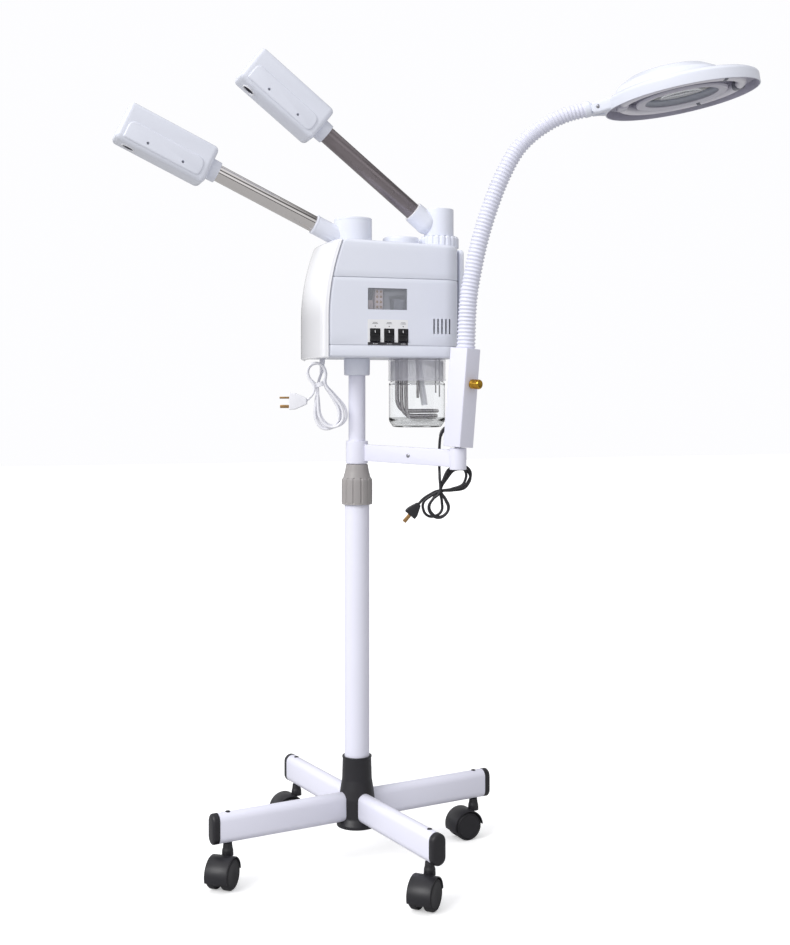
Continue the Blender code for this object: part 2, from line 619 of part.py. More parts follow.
def arm(label, turret, foot, rise, tube_radius, tube_start, nozzle_start, tube_finish):
    """The tube in a turret's socket and the nozzle head that twists on its end."""
    line = anchor(f"{label}_arm_line", (foot[0], 0, foot[1]), (0, -rise, math.pi), turret)
    pipe(f"{label}_tube", tube_radius, ARM_WALL, tube_start, nozzle_start + TUBE_IN_NOZZLE, line, tube_finish)
    twist = anchor(f"{label}_nozzle_axis", (0, 0, 0), parent=line)
    nozzle_half(f"{label}_nozzle_left", 1, twist, nozzle_start, tube_radius)
    nozzle_half(f"{label}_nozzle_right", -1, twist, nozzle_start, tube_radius)
    return line


def socket_tube(name, radius, start, end, line, far=None):
    middle = (start + end) / 2
    return rod(name, radius, end - start, line, (middle, 0, 0), (0, math.pi / 2, 0), sides=20, far=far)


TURRET_FOOT = HEAD_TOP + 0.0009
front_axis = anchor("front_turret_axis", (FRONT_ARM_X, 0, 0), parent=head)
FRONT_TURRET_PROFILE = (
    (0.0, FRONT_TURRET_TOP), (0.0305, FRONT_TURRET_TOP), (FRONT_TURRET_RADIUS, FRONT_TURRET_TOP - 0.002),
    (FRONT_TURRET_RADIUS, TURRET_FOOT), (0.0, TURRET_FOOT),
)
front_turret = settled(turned("front_turret", FRONT_TURRET_PROFILE, front_axis))
front_turret.data.materials.append(WHITE_PLASTIC)
front_line = arm(
    "front", front_axis, (0.0, FRONT_LINE_Z), FRONT_ARM_RISE, ARM_TUBE_RADIUS, 0.050, FRONT_NOZZLE_START, CHROME
)
join(front_turret, socket_tube("front_socket", 0.0165, 0.022, 0.0775, front_line))
cut(
    front_turret,
    socket_tube("front_bore", ARM_TUBE_RADIUS + GAP, 0.0497, 0.090, front_line),
    block("front_trim", (0.20, 0.10, 0.03), front_axis, (-0.05, 0, TURRET_FOOT - 0.015)),
    rod("front_steam_way", 0.011, 0.03, front_axis, (0, 0, TURRET_FOOT), sides=12),
)

nut_axis = anchor("lock_nut_axis", (REAR_ARM_X, 0, 0), parent=head)
NUT_FOOT = 1.0592
LOCK_NUT_PROFILE = (
    (0.0265, REAR_TURRET_FOOT - GAP), (0.0335, REAR_TURRET_FOOT - GAP),
    (LOCK_NUT_RADIUS, REAR_TURRET_FOOT - 0.002), (LOCK_NUT_RADIUS, NUT_FOOT), (0.0200, NUT_FOOT),
    (0.0200, 1.0700), (0.0265, 1.0700),
)
lock_nut = turned("rear_lock_nut", LOCK_NUT_PROFILE, nut_axis, material=WHITE_PLASTIC, ring=True)
for flute in range(flutes):
    angle = 2 * math.pi * (flute + 0.5) / flutes
    spot = (0.0362 * math.cos(angle), 0.0362 * math.sin(angle), 1.0685)
    cut(lock_nut, rod(f"nut_flute_{flute}", 0.0026, 0.030, nut_axis, spot, sides=8))

rear_axis = anchor("rear_turret_axis", (REAR_ARM_X, 0, 0), parent=head)
REAR_TURRET_PROFILE = (
    (0.0, REAR_TURRET_TOP), (0.0245, REAR_TURRET_TOP), (REAR_TURRET_RADIUS, REAR_TURRET_TOP - 0.0015),
    (REAR_TURRET_RADIUS, 1.0703), (0.0196, 1.0703), (0.0196, 1.0600), (0.0, 1.0600),
)
rear_turret = settled(turned("rear_turret", REAR_TURRET_PROFILE, rear_axis))
rear_turret.data.materials.append(WHITE_PLASTIC)
rear_line = arm(
    "rear", rear_axis, (ELBOW_X - REAR_ARM_X, ELBOW_Z), REAR_ARM_RISE, REAR_TUBE_RADIUS, 0.006,
    REAR_NOZZLE_START, DARK_TUBE,
)
join(
    rear_turret,
    ball("rear_elbow", ELBOW_RADIUS, rear_line),
    socket_tube("rear_socket", ELBOW_RADIUS - 0.0004, 0.0, 0.030, rear_line, far=0.019),
)
cut(
    rear_turret,
    socket_tube("rear_bore", REAR_TUBE_RADIUS + GAP, 0.0057, 0.050, rear_line),
    rod("rear_steam_way", 0.008, 0.03, rear_axis, (0, 0, 1.060), sides=12),
)


# ---- lamp: bracket, box with its switch knob, gooseneck, lamp head and lens cover

bracket = anchor("bracket_axis", (0, 0, 0), (0, 0, BRACKET_TURN), slide)
RING_PROFILE = (
    (0.0148, BRACKET_RING_TOP), (0.0180, BRACKET_RING_TOP), (0.0190, BRACKET_RING_TOP - 0.001),
    (0.0190, BRACKET_RING_FOOT + 0.001), (0.0180, BRACKET_RING_FOOT), (0.0148, BRACKET_RING_FOOT),
)
lamp_bracket = settled(turned("lamp_bracket", RING_PROFILE, bracket, ring=True))
lamp_bracket.data.materials.append(WHITE_PAINT)
droop = math.atan2(0.7025 - 0.6955, POST_REACH)
bar = block("bracket_bar", (0.168, 0.010, 0.0285), bracket, (0.1005, 0, 0.6990), (0, droop, 0), bevel=0.002)
bracket_post = rod("bracket_post", 0.014, POST_TOP - POST_FOOT, bracket,
                   (POST_REACH, 0, (POST_TOP + POST_FOOT) / 2), sides=20)
join(lamp_bracket, bar, bracket_post)
cut(lamp_bracket, rod("pin_bore", 0.0063, 0.030, bracket, (POST_REACH, 0, POST_TOP - 0.010), sides=12))

post = anchor("lamp_box_axis", (POST_REACH, 0, POST_TOP), (0, 0, LAMP_TURN - BRACKET_TURN), bracket)
lean = anchor("lamp_box_lean", (0, 0, 0), (0, BOX_LEAN, 0), post)
BOX_FOOT = 0.0020
lamp_box = block("lamp_box", (BOX_SIDE, BOX_SIDE, BOX_HEIGHT), lean, (0, 0, BOX_FOOT + BOX_HEIGHT / 2),
                 (0, 0, BOX_TURN), WHITE_PAINT, bevel=0.002)
join(lamp_box, rod("box_pin", 0.0058, 0.026, post, (0, 0, -0.0065), sides=12))

knob_middle = 0.107
knob_pivot = anchor("knob_axis", (0, 0, knob_middle), (0, 0, BOX_TURN), lean)
KNOB_PROFILE = (
    (0.0, 0.0205), (0.0070, 0.0205), (0.0080, 0.0195), (0.0080, 0.0030), (0.0070, 0.0020), (0.0, 0.0020),
)
turned("lamp_switch_knob", KNOB_PROFILE, knob_pivot, (BOX_SIDE / 2 - 0.0015, 0, 0), (0, math.pi / 2, 0),
       BRASS, steps=16)

# The gooseneck's centre line, in the lamp's upright plane: out from the post, and above its top.
NECK_ROUTE = (
    (0.0128, 0.1660), (0.0165, 0.2405), (0.0258, 0.2975), (0.0377, 0.3497), (0.0542, 0.4018),
    (0.0732, 0.4492), (0.0970, 0.4920), (0.1277, 0.5227), (0.1704, 0.5475), (0.2161, 0.5600),
)
neck_line = through([(x, 0, z) for x, z in NECK_ROUTE], 28)
neck_radii = [NECK_FOOT_RADIUS + (NECK_TOP_RADIUS - NECK_FOOT_RADIUS) * i / 27 for i in range(28)]
BENDS = (9, 19)


def neck_piece(name, first, last, carrier):
    """A rigid length of the gooseneck, from one bend to the next, with room to turn at each."""
    points = [Vector(p) for p in neck_line[first : last + 1]]
    radii = neck_radii[first : last + 1]
    if first in BENDS:
        points[0] += (points[1] - points[0]).normalized() * BEND_GAP
    if last in BENDS:
        points[-1] += (points[-2] - points[-1]).normalized() * BEND_GAP
    piece = tube(name, points, 1.0, carrier, radii=radii, fine=2)
    piece = settled(piece, weld=True)
    piece.data.materials.append(WHITE_PLASTIC)
    return piece


lower = neck_piece("gooseneck_lower", 0, BENDS[0], post)
join(lower, ball("lower_ball", BALL_RADIUS, post, neck_line[BENDS[0]], sides=10))
first_bend = anchor("gooseneck_bend_1", neck_line[BENDS[0]], parent=post)
offset = anchor("gooseneck_middle_frame", -Vector(neck_line[BENDS[0]]), parent=first_bend)
middle = neck_piece("gooseneck_middle", BENDS[0], BENDS[1], offset)
cut(middle, ball("lower_socket", BALL_RADIUS + 0.0009, post, neck_line[BENDS[0]], sides=10))
join(middle, ball("upper_ball", BALL_RADIUS - 0.001, offset, neck_line[BENDS[1]], sides=10))
second_bend = anchor("gooseneck_bend_2", neck_line[BENDS[1]], parent=offset)
offset_2 = anchor("gooseneck_upper_frame", -Vector(neck_line[BENDS[1]]), parent=second_bend)
upper = neck_piece("gooseneck_upper", BENDS[1], 27, offset_2)
cut(upper, ball("upper_socket", BALL_RADIUS - 0.0001, offset, neck_line[BENDS[1]], sides=10))

lamp_x, lamp_z = LAMP_CENTRE[0], LAMP_CENTRE[1] - POST_TOP
pivot_spot = (
    lamp_x + PIVOT_X * math.cos(LAMP_TILT) - PIVOT_Z * math.sin(LAMP_TILT), 0,
    lamp_z + PIVOT_X * math.sin(LAMP_TILT) + PIVOT_Z * math.cos(LAMP_TILT),
)
lug_turn = (0, -LAMP_TILT, 0)
tilt = anchor("lamp_tilt_axis", pivot_spot, lug_turn, offset_2)
lug = flat("neck_lug", stadium((-0.022, 0), (0, 0), 0.0095), 0.012, tilt, (0, 0, 0), (math.pi / 2, 0, 0))
join(upper, lug)

lamp = anchor("lamp_frame", (-PIVOT_X, 0, -PIVOT_Z), parent=tilt)
top = LAMP_WALL_HEIGHT
LAMP_PROFILE = (
    (0.0640, top + 0.004), (0.0900, top + 0.004), (0.1200, top + 0.0015), (LAMP_RADIUS - 0.001, top - 0.002),
    (LAMP_RADIUS, top - 0.006), (LAMP_RADIUS, 0.0), (LAMP_RADIUS - 0.0025, 0.0),
    (LAMP_RADIUS - 0.0025, top - 0.004), (0.0900, top + 0.0015), (0.0735, top + 0.0015),
    (0.0735, 0.0060), (0.0640, 0.0050),
)
lamp_housing = settled(turned("lamp_housing", LAMP_PROFILE, lamp, ring=True, steps=32))
lamp_housing.data.materials.append(WHITE_PLASTIC)
neck_side = arc(PIVOT_X, PIVOT_Z, 0.0118, 90, 270, 6) + [(-0.1262, 0.0015), (-0.1262, top - 0.004)]
fork = flat("lamp_fork", neck_side, 0.030, lamp, (0, 0, 0), (math.pi / 2, 0, 0))
join(lamp_housing, fork)
cut(lamp_housing, block("fork_slot", (0.027, 0.0130, 0.060), lamp, (PIVOT_X - 0.0015, 0, PIVOT_Z)))

LENS_PROFILE = (
    (0.0, 0.0230), (0.035, 0.0213), (0.0635, 0.0160), (0.0635, 0.0130), (0.035, 0.0077), (0.0, 0.0060),
)
turned("magnifier_lens", LENS_PROFILE, lamp, material=CLEAR_GLASS, steps=28)
ring_lamp_radius, ring_tube_radius = 0.0985, 0.0080
ring_points = arc(ring_lamp_radius, 0.0105, ring_tube_radius, 90, -270, 6)[:-1]
turned("ring_tube", ring_points, lamp, material=BRIGHT_PLASTIC, ring=True, steps=28)

COVER_HINGE = (-0.1095, top + 0.0070)
cover_axis = anchor("lens_cover_axis", (COVER_HINGE[0], 0, COVER_HINGE[1]), parent=lamp)
COVER_PROFILE = (
    (0.0, 0.0245), (0.055, 0.0225), (0.084, 0.0150), (COVER_RADIUS, 0.0045),
    (0.0880, 0.0045), (0.082, 0.0130), (0.054, 0.0205), (0.0, 0.0225),
)
turned("lens_cover", COVER_PROFILE, cover_axis, (COVER_X - COVER_HINGE[0], 0, top - COVER_HINGE[1]),
       material=WHITE_PLASTIC, steps=28)


# ---- cords: the mains lead's hank under the head, and the lamp's lead behind the bracket

view_turn = anchor("mains_cord_frame", (0, 0, 0), (0, 0, LAMP_TURN), head)
HANK_Y, HANK_THICK = -0.020, 0.024
mains_hank = flat("mains_cord_hank", stadium((-0.044, 0.768), (-0.068, 0.8375), 0.0245), HANK_THICK,
                  view_turn, (0, HANK_Y, 0), (math.pi / 2, 0, 0))
mains_hank.data.materials.append(BRIGHT_PLASTIC)
mains_plug = block("mains_plug", (0.030, 0.022, 0.034), view_turn, (-0.0975, HANK_Y, 0.7905),
                   material=BRIGHT_PLASTIC, bevel=0.004)
for number, (across, up) in enumerate(((0.008, 0.006), (-0.008, 0.006), (0.0, -0.009)), 1):
    join(mains_plug, block(f"mains_pin_{number}", (0.017, 0.0055, 0.0035), view_turn,
                           (-0.1195, HANK_Y + across, 0.7905 + up)))

cord_frame = anchor("lamp_cord_frame", (0, 0, -POST_TOP), parent=post)
CORD_RADIUS = 0.003
CORD_ROUTE = (
    (-0.0125, 0.0235, 0.7465), (-0.0205, 0.0300, 0.7450), (-0.0275, 0.0335, 0.7330), (-0.0297, 0.0345, 0.7100),
    (-0.0300, 0.0345, 0.6860), (-0.0297, 0.0335, 0.6625),
)
tube("lamp_cord", through(CORD_ROUTE, 22), CORD_RADIUS, cord_frame, material=BLACK_PLASTIC)
lamp_hank = flat("lamp_cord_hank", stadium((-0.0330, 0.628), (0.0, 0.648), 0.0255), 0.024,
                 cord_frame, (0, 0.033, 0), (math.pi / 2, 0, 0))
lamp_hank.data.materials.append(BLACK_PLASTIC)
lamp_plug = block("lamp_plug", (0.024, 0.016, 0.024), cord_frame, (-0.0730, 0.033, 0.6190),
                  material=BLACK_PLASTIC, bevel=0.003)
for number, across in enumerate((0.005, -0.005), 1):
    join(lamp_plug, block(f"lamp_pin_{number}", (0.016, 0.0015, 0.006), cord_frame, (-0.0910, 0.033 + across, 0.6190)))
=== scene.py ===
"""Looks of a salon facial steamer with two steam arms and a magnifier lamp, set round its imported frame."""
import math

import bmesh
import bpy
from mathutils import Euler, Matrix, Vector


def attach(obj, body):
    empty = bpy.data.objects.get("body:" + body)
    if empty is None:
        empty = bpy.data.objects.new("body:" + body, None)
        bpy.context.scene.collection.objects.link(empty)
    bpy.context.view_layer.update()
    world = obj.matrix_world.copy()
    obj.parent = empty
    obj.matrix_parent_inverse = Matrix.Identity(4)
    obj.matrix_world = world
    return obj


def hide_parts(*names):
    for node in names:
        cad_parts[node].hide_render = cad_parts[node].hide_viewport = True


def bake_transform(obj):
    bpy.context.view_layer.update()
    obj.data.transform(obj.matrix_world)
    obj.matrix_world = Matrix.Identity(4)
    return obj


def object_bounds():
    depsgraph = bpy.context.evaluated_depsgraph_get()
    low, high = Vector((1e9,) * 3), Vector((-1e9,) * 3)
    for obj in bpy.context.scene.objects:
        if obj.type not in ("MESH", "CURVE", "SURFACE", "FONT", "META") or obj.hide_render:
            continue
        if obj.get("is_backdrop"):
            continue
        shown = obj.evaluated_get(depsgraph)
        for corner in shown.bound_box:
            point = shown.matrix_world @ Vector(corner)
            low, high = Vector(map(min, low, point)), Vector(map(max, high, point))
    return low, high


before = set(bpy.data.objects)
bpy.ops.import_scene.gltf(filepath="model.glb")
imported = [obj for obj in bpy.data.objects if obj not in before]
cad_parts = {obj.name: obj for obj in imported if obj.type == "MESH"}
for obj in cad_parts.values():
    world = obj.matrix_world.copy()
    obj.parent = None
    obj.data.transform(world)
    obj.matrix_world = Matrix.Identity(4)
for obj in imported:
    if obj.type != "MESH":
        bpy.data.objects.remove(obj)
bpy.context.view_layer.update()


# ---- Legs
# Four flat-oval steel tubes with a white powder coat, pushed into the hub a quarter turn apart.
# The coat has a faint orange peel, and each tube is stopped with a black moulded cap.


def moved(x, y, z):
    """A shift, in metres."""
    return Matrix.Translation((x, y, z))


def turned(angle, axis):
    """A turn about an axis, in degrees."""
    return Matrix.Rotation(math.radians(angle), 4, axis)


pole = moved(-0.0960, 0.0632, 0)
leg_turn, leg_middle, leg_root, leg_tip, cap_length = math.radians(11.2), 0.095, 0.018, 0.270, 0.0117


def node(tree, kind, settings=(), **inputs):
    """A node with its settings, and its inputs set to values or linked to sockets."""
    made = tree.nodes.new(kind)
    for name, value in settings:
        setattr(made, name, value)
    for name, value in inputs.items():
        key = int(name[1:]) if name[0] == "i" and name[1:].isdigit() else name.replace("_", " ")
        if isinstance(value, bpy.types.NodeSocket):
            tree.links.new(value, made.inputs[key])
        else:
            made.inputs[key].default_value = value
    return made


def surface_skin():
    """Slow drift of colour, smudged gloss and a fine grain, for moulded, painted and plated skins."""
    tree = bpy.data.node_groups.new("surface_skin", "ShaderNodeTree")
    sockets = (("Colour", "Color", (1, 1, 1, 1)), ("Roughness", "Float", 0.4), ("Drift", "Float", 0.03),
               ("Smudge", "Float", 0.06), ("Grain Size", "Float", 0.001))
    for name, kind, value in sockets:
        made = tree.interface.new_socket(name, in_out="INPUT", socket_type=f"NodeSocket{kind}")
        made.default_value = value
    for name, kind in (("Colour", "Color"), ("Roughness", "Float"), ("Height", "Float")):
        tree.interface.new_socket(name, in_out="OUTPUT", socket_type=f"NodeSocket{kind}")
    given = node(tree, "NodeGroupInput").outputs
    spot = node(tree, "ShaderNodeTexCoord").outputs["Object"]
    cloud = node(tree, "ShaderNodeTexNoise", Vector=spot, Scale=9.0, Detail=3.0).outputs["Fac"]
    centred = node(tree, "ShaderNodeMath", [("operation", "SUBTRACT")], i0=cloud, i1=0.5).outputs[0]
    drift = node(tree, "ShaderNodeMath", [("operation", "MULTIPLY")], i0=centred,
                 i1=given["Drift"]).outputs[0]
    level = node(tree, "ShaderNodeMath", [("operation", "ADD")], i0=drift, i1=1.0).outputs[0]
    tinted = node(tree, "ShaderNodeVectorMath", [("operation", "SCALE")], i0=given["Colour"], Scale=level)
    rub = node(tree, "ShaderNodeTexNoise", Vector=spot, Scale=38.0, Detail=5.0, Roughness=0.6).outputs["Fac"]
    off = node(tree, "ShaderNodeMath", [("operation", "SUBTRACT")], i0=rub, i1=0.5).outputs[0]
    smudge = node(tree, "ShaderNodeMath", [("operation", "MULTIPLY")], i0=off, i1=given["Smudge"]).outputs[0]
    rough = node(tree, "ShaderNodeMath", [("operation", "ADD")], i0=smudge, i1=given["Roughness"]).outputs[0]
    finer = node(tree, "ShaderNodeMath", [("operation", "DIVIDE")], i0=1.0, i1=given["Grain Size"]).outputs[0]
    grain = node(tree, "ShaderNodeTexNoise", Vector=spot, Scale=finer, Detail=2.0).outputs["Fac"]
    node(tree, "NodeGroupOutput", Colour=tinted.outputs["Vector"], Roughness=rough, Height=grain)
    return tree


skin = surface_skin()


def linear(colour):
    """An sRGB colour of 0 to 255, as the shader's linear one."""
    parts = [c / 255 for c in colour]
    return tuple(c / 12.92 if c <= 0.04045 else ((c + 0.055) / 1.055) ** 2.4 for c in parts)


def skinned(name, colour, roughness, metallic=0.0, drift=0.03, smudge=0.06, grain=0.001,
            depth=0.02, coat=0.0):
    """A finish on the shared skin: colour, gloss and grain depth, with a clear coat if it has one."""
    finish = bpy.data.materials.new(name)
    finish.use_nodes = True
    tree = finish.node_tree
    shader = tree.nodes["Principled BSDF"]
    look = node(tree, "ShaderNodeGroup", [("node_tree", skin)], Colour=(*linear(colour), 1),
                Roughness=roughness, Drift=drift, Smudge=smudge, Grain_Size=grain).outputs
    tree.links.new(look["Colour"], shader.inputs["Base Color"])
    tree.links.new(look["Roughness"], shader.inputs["Roughness"])
    bump = node(tree, "ShaderNodeBump", Height=look["Height"], Strength=depth, Distance=0.0005)
    tree.links.new(bump.outputs["Normal"], shader.inputs["Normal"])
    shader.inputs["Metallic"].default_value = metallic
    shader.inputs["Coat Weight"].default_value = coat
    shader.inputs["Coat Roughness"].default_value = 0.06
    return finish


def eased(corners, closed=True, steps=5):
    """A line through (x, y, radius) corners, each one eased by its radius."""
    line = []
    for i, (x, y, radius) in enumerate(corners):
        here = Vector((x, y))
        if radius == 0 or (not closed and i in (0, len(corners) - 1)):
            line.append(here)
            continue
        back = Vector(corners[i - 1][:2]) - here
        ahead = Vector(corners[(i + 1) % len(corners)][:2]) - here
        reach = min(radius / math.tan(back.angle(ahead) / 2), 0.49 * back.length, 0.49 * ahead.length)
        start, end = here + back.normalized() * reach, here + ahead.normalized() * reach
        for k in range(steps + 1):
            t = k / steps
            line.append((1 - t) ** 2 * start + 2 * (1 - t) * t * here + t * t * end)
    return line


def in_scene(name, data):
    """A new object of this mesh, curve, light or camera, in the scene."""
    made = bpy.data.objects.new(name, data)
    bpy.context.scene.collection.objects.link(made)
    return made


def piece(name, shape, carrier=Matrix.Identity(4)):
    """An object from a bmesh, put in place, with doubles merged and its faces turned outwards."""
    bmesh.ops.transform(shape, matrix=carrier, verts=shape.verts)
    bmesh.ops.remove_doubles(shape, verts=shape.verts, dist=1e-6)
    bmesh.ops.recalc_face_normals(shape, faces=shape.faces)
    mesh = bpy.data.meshes.new(name)
    shape.to_mesh(mesh)
    shape.free()
    return in_scene(name, mesh)


def shown_mesh(made):
    """The mesh that an object shows, with its modifiers or its curve's tube worked in."""
    bpy.context.view_layer.update()
    return bpy.data.meshes.new_from_object(made.evaluated_get(bpy.context.evaluated_depsgraph_get()))


def settle(made):
    """The same piece as a plain mesh, with its modifiers worked in."""
    solid = shown_mesh(made)
    made.modifiers.clear()
    made.data = solid
    return made


def soften(made, width, steps=3, angle=35):
    """Rounds the piece's sharp edges."""
    bevel = made.modifiers.new("soften", "BEVEL")
    bevel.width, bevel.segments, bevel.angle_limit = width, steps, math.radians(angle)
    bevel.limit_method, bevel.harden_normals = "ANGLE", False
    return settle(made)


def slab(name, outline, low, high, carrier, edge=0.0, steps=3):
    """A flat outline raised from low to high along the carrier's Z axis."""
    shape = bmesh.new()
    foot = shape.faces.new([shape.verts.new((x, y, low)) for x, y in outline])
    lid = bmesh.ops.extrude_face_region(shape, geom=[foot])["geom"]
    for corner in lid:
        if isinstance(corner, bmesh.types.BMVert):
            corner.co.z = high
    made = piece(name, shape, carrier)
    return soften(made, edge, steps) if edge else made


def fit(made, finish, body, slot, *stands_for, crease=35):
    """Gives a finished piece its shading and finish, and fixes it to its body."""
    made.data.materials.clear()
    made.data.materials.append(finish)
    if made.type == "MESH":
        made.data.shade_smooth()
        made.data.set_sharp_from_angle(angle=math.radians(crease))
    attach(made, body)
    if stands_for:
        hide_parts(*stands_for)
    return made


def oval(width, height, spare=0.0, steps=14):
    """The tubes' flat-oval section, upright."""
    radius, straight = width / 2 + spare, (height - width) / 2
    turn = [math.pi * k / steps for k in range(steps + 1)]
    line = [(radius * math.cos(a), straight + radius * math.sin(a)) for a in turn]
    return line + [(-x, -y) for x, y in line]


def along_leg(number, start):
    """A frame at a distance out along a leg, its Z axis pointing out and its Y axis up."""
    turn = leg_turn + number * math.pi / 2
    spot = Vector((start * math.cos(turn), start * math.sin(turn), leg_middle))
    return pole @ Matrix.Translation(spot) @ Euler((math.pi / 2, 0, turn + math.pi / 2)).to_matrix().to_4x4()


powder_white = skinned("powder_white", (233, 233, 247), 0.34, grain=0.0016, depth=0.05)
for number in range(4):
    length = leg_tip - cap_length - 0.0003 - leg_root
    leg = slab(f"leg_tube_{number + 1}", oval(0.025, 0.050), 0.0, length,
               along_leg(number, leg_root), 0.0006, 2)
    fit(leg, powder_white, "stand", "white_paint", f"leg_{number + 1}")


# ---- Leg end caps
# Black polypropylene plugs with a crowned face. They are a friction fit in the tube's mouth, and a
# rim a little proud of the tube covers its cut edge.

nylon_black = skinned("nylon_black", (29, 28, 33), 0.42, drift=0.10, smudge=0.10, grain=0.0009, depth=0.12)


def crowned(name, outline, length, crown, carrier, steps=6):
    """A plug whose outer face domes over: the outline shrinks as it nears the far end."""
    shape = bmesh.new()
    rows = []
    for k in range(steps + 2):
        a = math.pi / 2 * max(0, k - 1) / steps
        scale, z = 1 - crown * (1 - math.cos(a)), 0.0 if k == 0 else length - 0.0045 + 0.0045 * math.sin(a)
        rows.append([shape.verts.new((x * scale, y * (1 - (1 - scale) * 0.55), z)) for x, y in outline])
    for low, high in zip(rows, rows[1:]):
        for i in range(len(low)):
            shape.faces.new((low[i - 1], low[i], high[i], high[i - 1]))
    shape.faces.new(rows[0])
    shape.faces.new(rows[-1])
    return piece(name, shape, carrier)


for number in range(4):
    cap = crowned(f"end_cap_{number + 1}", oval(0.0256, 0.0506), cap_length, 0.45,
                  along_leg(number, leg_tip - cap_length))
    fit(cap, nylon_black, "stand", "black_plastic", f"leg_cap_{number + 1}", crease=60)


# ---- Hub
# A black moulded nylon hub. The lower pole sits in its rimmed cup, its skirt arches over the four
# legs where they go in, and it ends in a flared foot plate.

hub_line = eased([
    (0.0, 0.1247, 0), (0.0222, 0.1247, 0), (0.0222, 0.1800, 0.0008), (0.0255, 0.1800, 0.0010),
    (0.0255, 0.1772, 0.0008), (0.0247, 0.1760, 0.0008), (0.0258, 0.1400, 0.0100), (0.0285, 0.1240, 0.006),
    (0.0305, 0.1080, 0.006), (0.0300, 0.0760, 0.010), (0.0350, 0.0650, 0.006), (0.0350, 0.0600, 0.0012),
    (0.0, 0.0600, 0),
], closed=False)


def spin(name, line, carrier, loop=False, steps=96):
    """A line of (radius, height) turned about the carrier's Z axis."""
    shape = bmesh.new()
    rings = []
    for radius, z in line:
        if radius < 1e-7:
            rings.append([shape.verts.new((0, 0, z))] * steps)
            continue
        turn = [2 * math.pi * k / steps for k in range(steps)]
        rings.append([shape.verts.new((radius * math.cos(a), radius * math.sin(a), z)) for a in turn])
    for low, high in zip(rings, rings[1:] + rings[:1] if loop else rings[1:]):
        for k in range(steps):
            corners = list(dict.fromkeys((low[k - 1], low[k], high[k], high[k - 1])))
            if len(corners) > 2:
                shape.faces.new(corners)
    return piece(name, shape, carrier)


def carve(made, *tools, operation="DIFFERENCE"):
    """Cuts the piece with the tools, or joins them to it, and drops the tools."""
    for tool in tools:
        change = made.modifiers.new("carve", "BOOLEAN")
        change.operation, change.object, change.solver = operation, tool, "EXACT"
        tool.hide_render = True
        settle(made)
        bpy.data.objects.remove(tool, do_unlink=True)
    return made


hub = spin("hub_casting", hub_line, pole)
pockets = [slab(f"pocket_{n}", oval(0.025, 0.050, 0.0002), 0.0, 0.05, along_leg(n, leg_root))
           for n in range(4)]
fit(carve(hub, *pockets), nylon_black, "stand", "black_plastic", "base_hub", crease=45)


# ---- Caster stem heads
# The casters' threaded stems come through the legs and end in a small dark nut head on top, one
# above each caster.

def node_tree(name, inputs):
    """A geometry tree with a geometry input, named number inputs and a geometry output."""
    tree = bpy.data.node_groups.new(name, "GeometryNodeTree")
    tree.interface.new_socket("Geometry", in_out="INPUT", socket_type="NodeSocketGeometry")
    for title, kind, value in inputs:
        tree.interface.new_socket(title, in_out="INPUT",
                                  socket_type=f"NodeSocket{kind}").default_value = value
    tree.interface.new_socket("Finish", in_out="INPUT", socket_type="NodeSocketMaterial")
    tree.interface.new_socket("Geometry", in_out="OUTPUT", socket_type="NodeSocketGeometry")
    return tree


def screw_head_tree():
    """A domed head, standing on each point along its own direction."""
    tree = node_tree("screw_heads", (("Head Radius", "Float", 0.003), ("Head Height", "Float", 0.001)))
    given = node(tree, "NodeGroupInput").outputs
    out = node(tree, "GeometryNodeInputNamedAttribute", [("data_type", "FLOAT_VECTOR")],
               Name="out").outputs[0]
    turn = node(tree, "FunctionNodeAlignRotationToVector", [("axis", "Z")], Vector=out).outputs[0]
    ball = node(tree, "GeometryNodeMeshUVSphere", Segments=20, Rings=10,
                Radius=given["Head Radius"]).outputs["Mesh"]
    flat = node(tree, "ShaderNodeMath", [("operation", "DIVIDE")], i0=given["Head Height"],
                i1=given["Head Radius"])
    scale = node(tree, "ShaderNodeCombineXYZ", X=1.0, Y=1.0, Z=flat.outputs[0]).outputs[0]
    dome = node(tree, "GeometryNodeTransform", Geometry=ball, Scale=scale).outputs[0]
    heads = node(tree, "GeometryNodeInstanceOnPoints", Points=given["Geometry"], Instance=dome, Rotation=turn)
    real = node(tree, "GeometryNodeRealizeInstances", Geometry=heads.outputs[0]).outputs[0]
    smooth = node(tree, "GeometryNodeSetShadeSmooth", Geometry=real).outputs[0]
    dressed = node(tree, "GeometryNodeSetMaterial", Geometry=smooth, Material=given["Finish"]).outputs[0]
    node(tree, "NodeGroupOutput", Geometry=dressed)
    return tree


def grow(name, source, tree, finish, **inputs):
    """Runs a tree on a source mesh or curve, and leaves its result as a plain mesh."""
    made = in_scene(name, source)
    growth = made.modifiers.new("grow", "NODES")
    growth.node_group = tree
    sockets = {s.name: s.identifier for s in tree.interface.items_tree if s.in_out == "INPUT"}
    for title, value in inputs.items():
        growth[sockets[title.replace("_", " ")]] = value
    growth[sockets["Finish"]] = finish
    mesh = shown_mesh(made)
    bpy.data.objects.remove(made, do_unlink=True)
    return in_scene(name, mesh)


screw_heads = screw_head_tree()


def screws(name, spots, radius, height, finish, body, slot):
    """Screw heads at (place, direction) spots, all on one body."""
    cloud = bpy.data.meshes.new(name)
    cloud.from_pydata([spot for spot, out in spots], [], [])
    facing = cloud.attributes.new("out", "FLOAT_VECTOR", "POINT")
    for datum, (spot, out) in zip(facing.data, spots):
        datum.vector = out
    made = grow(name, cloud, screw_heads, finish, Head_Radius=radius, Head_Height=height)
    return fit(made, finish, body, slot, crease=60)


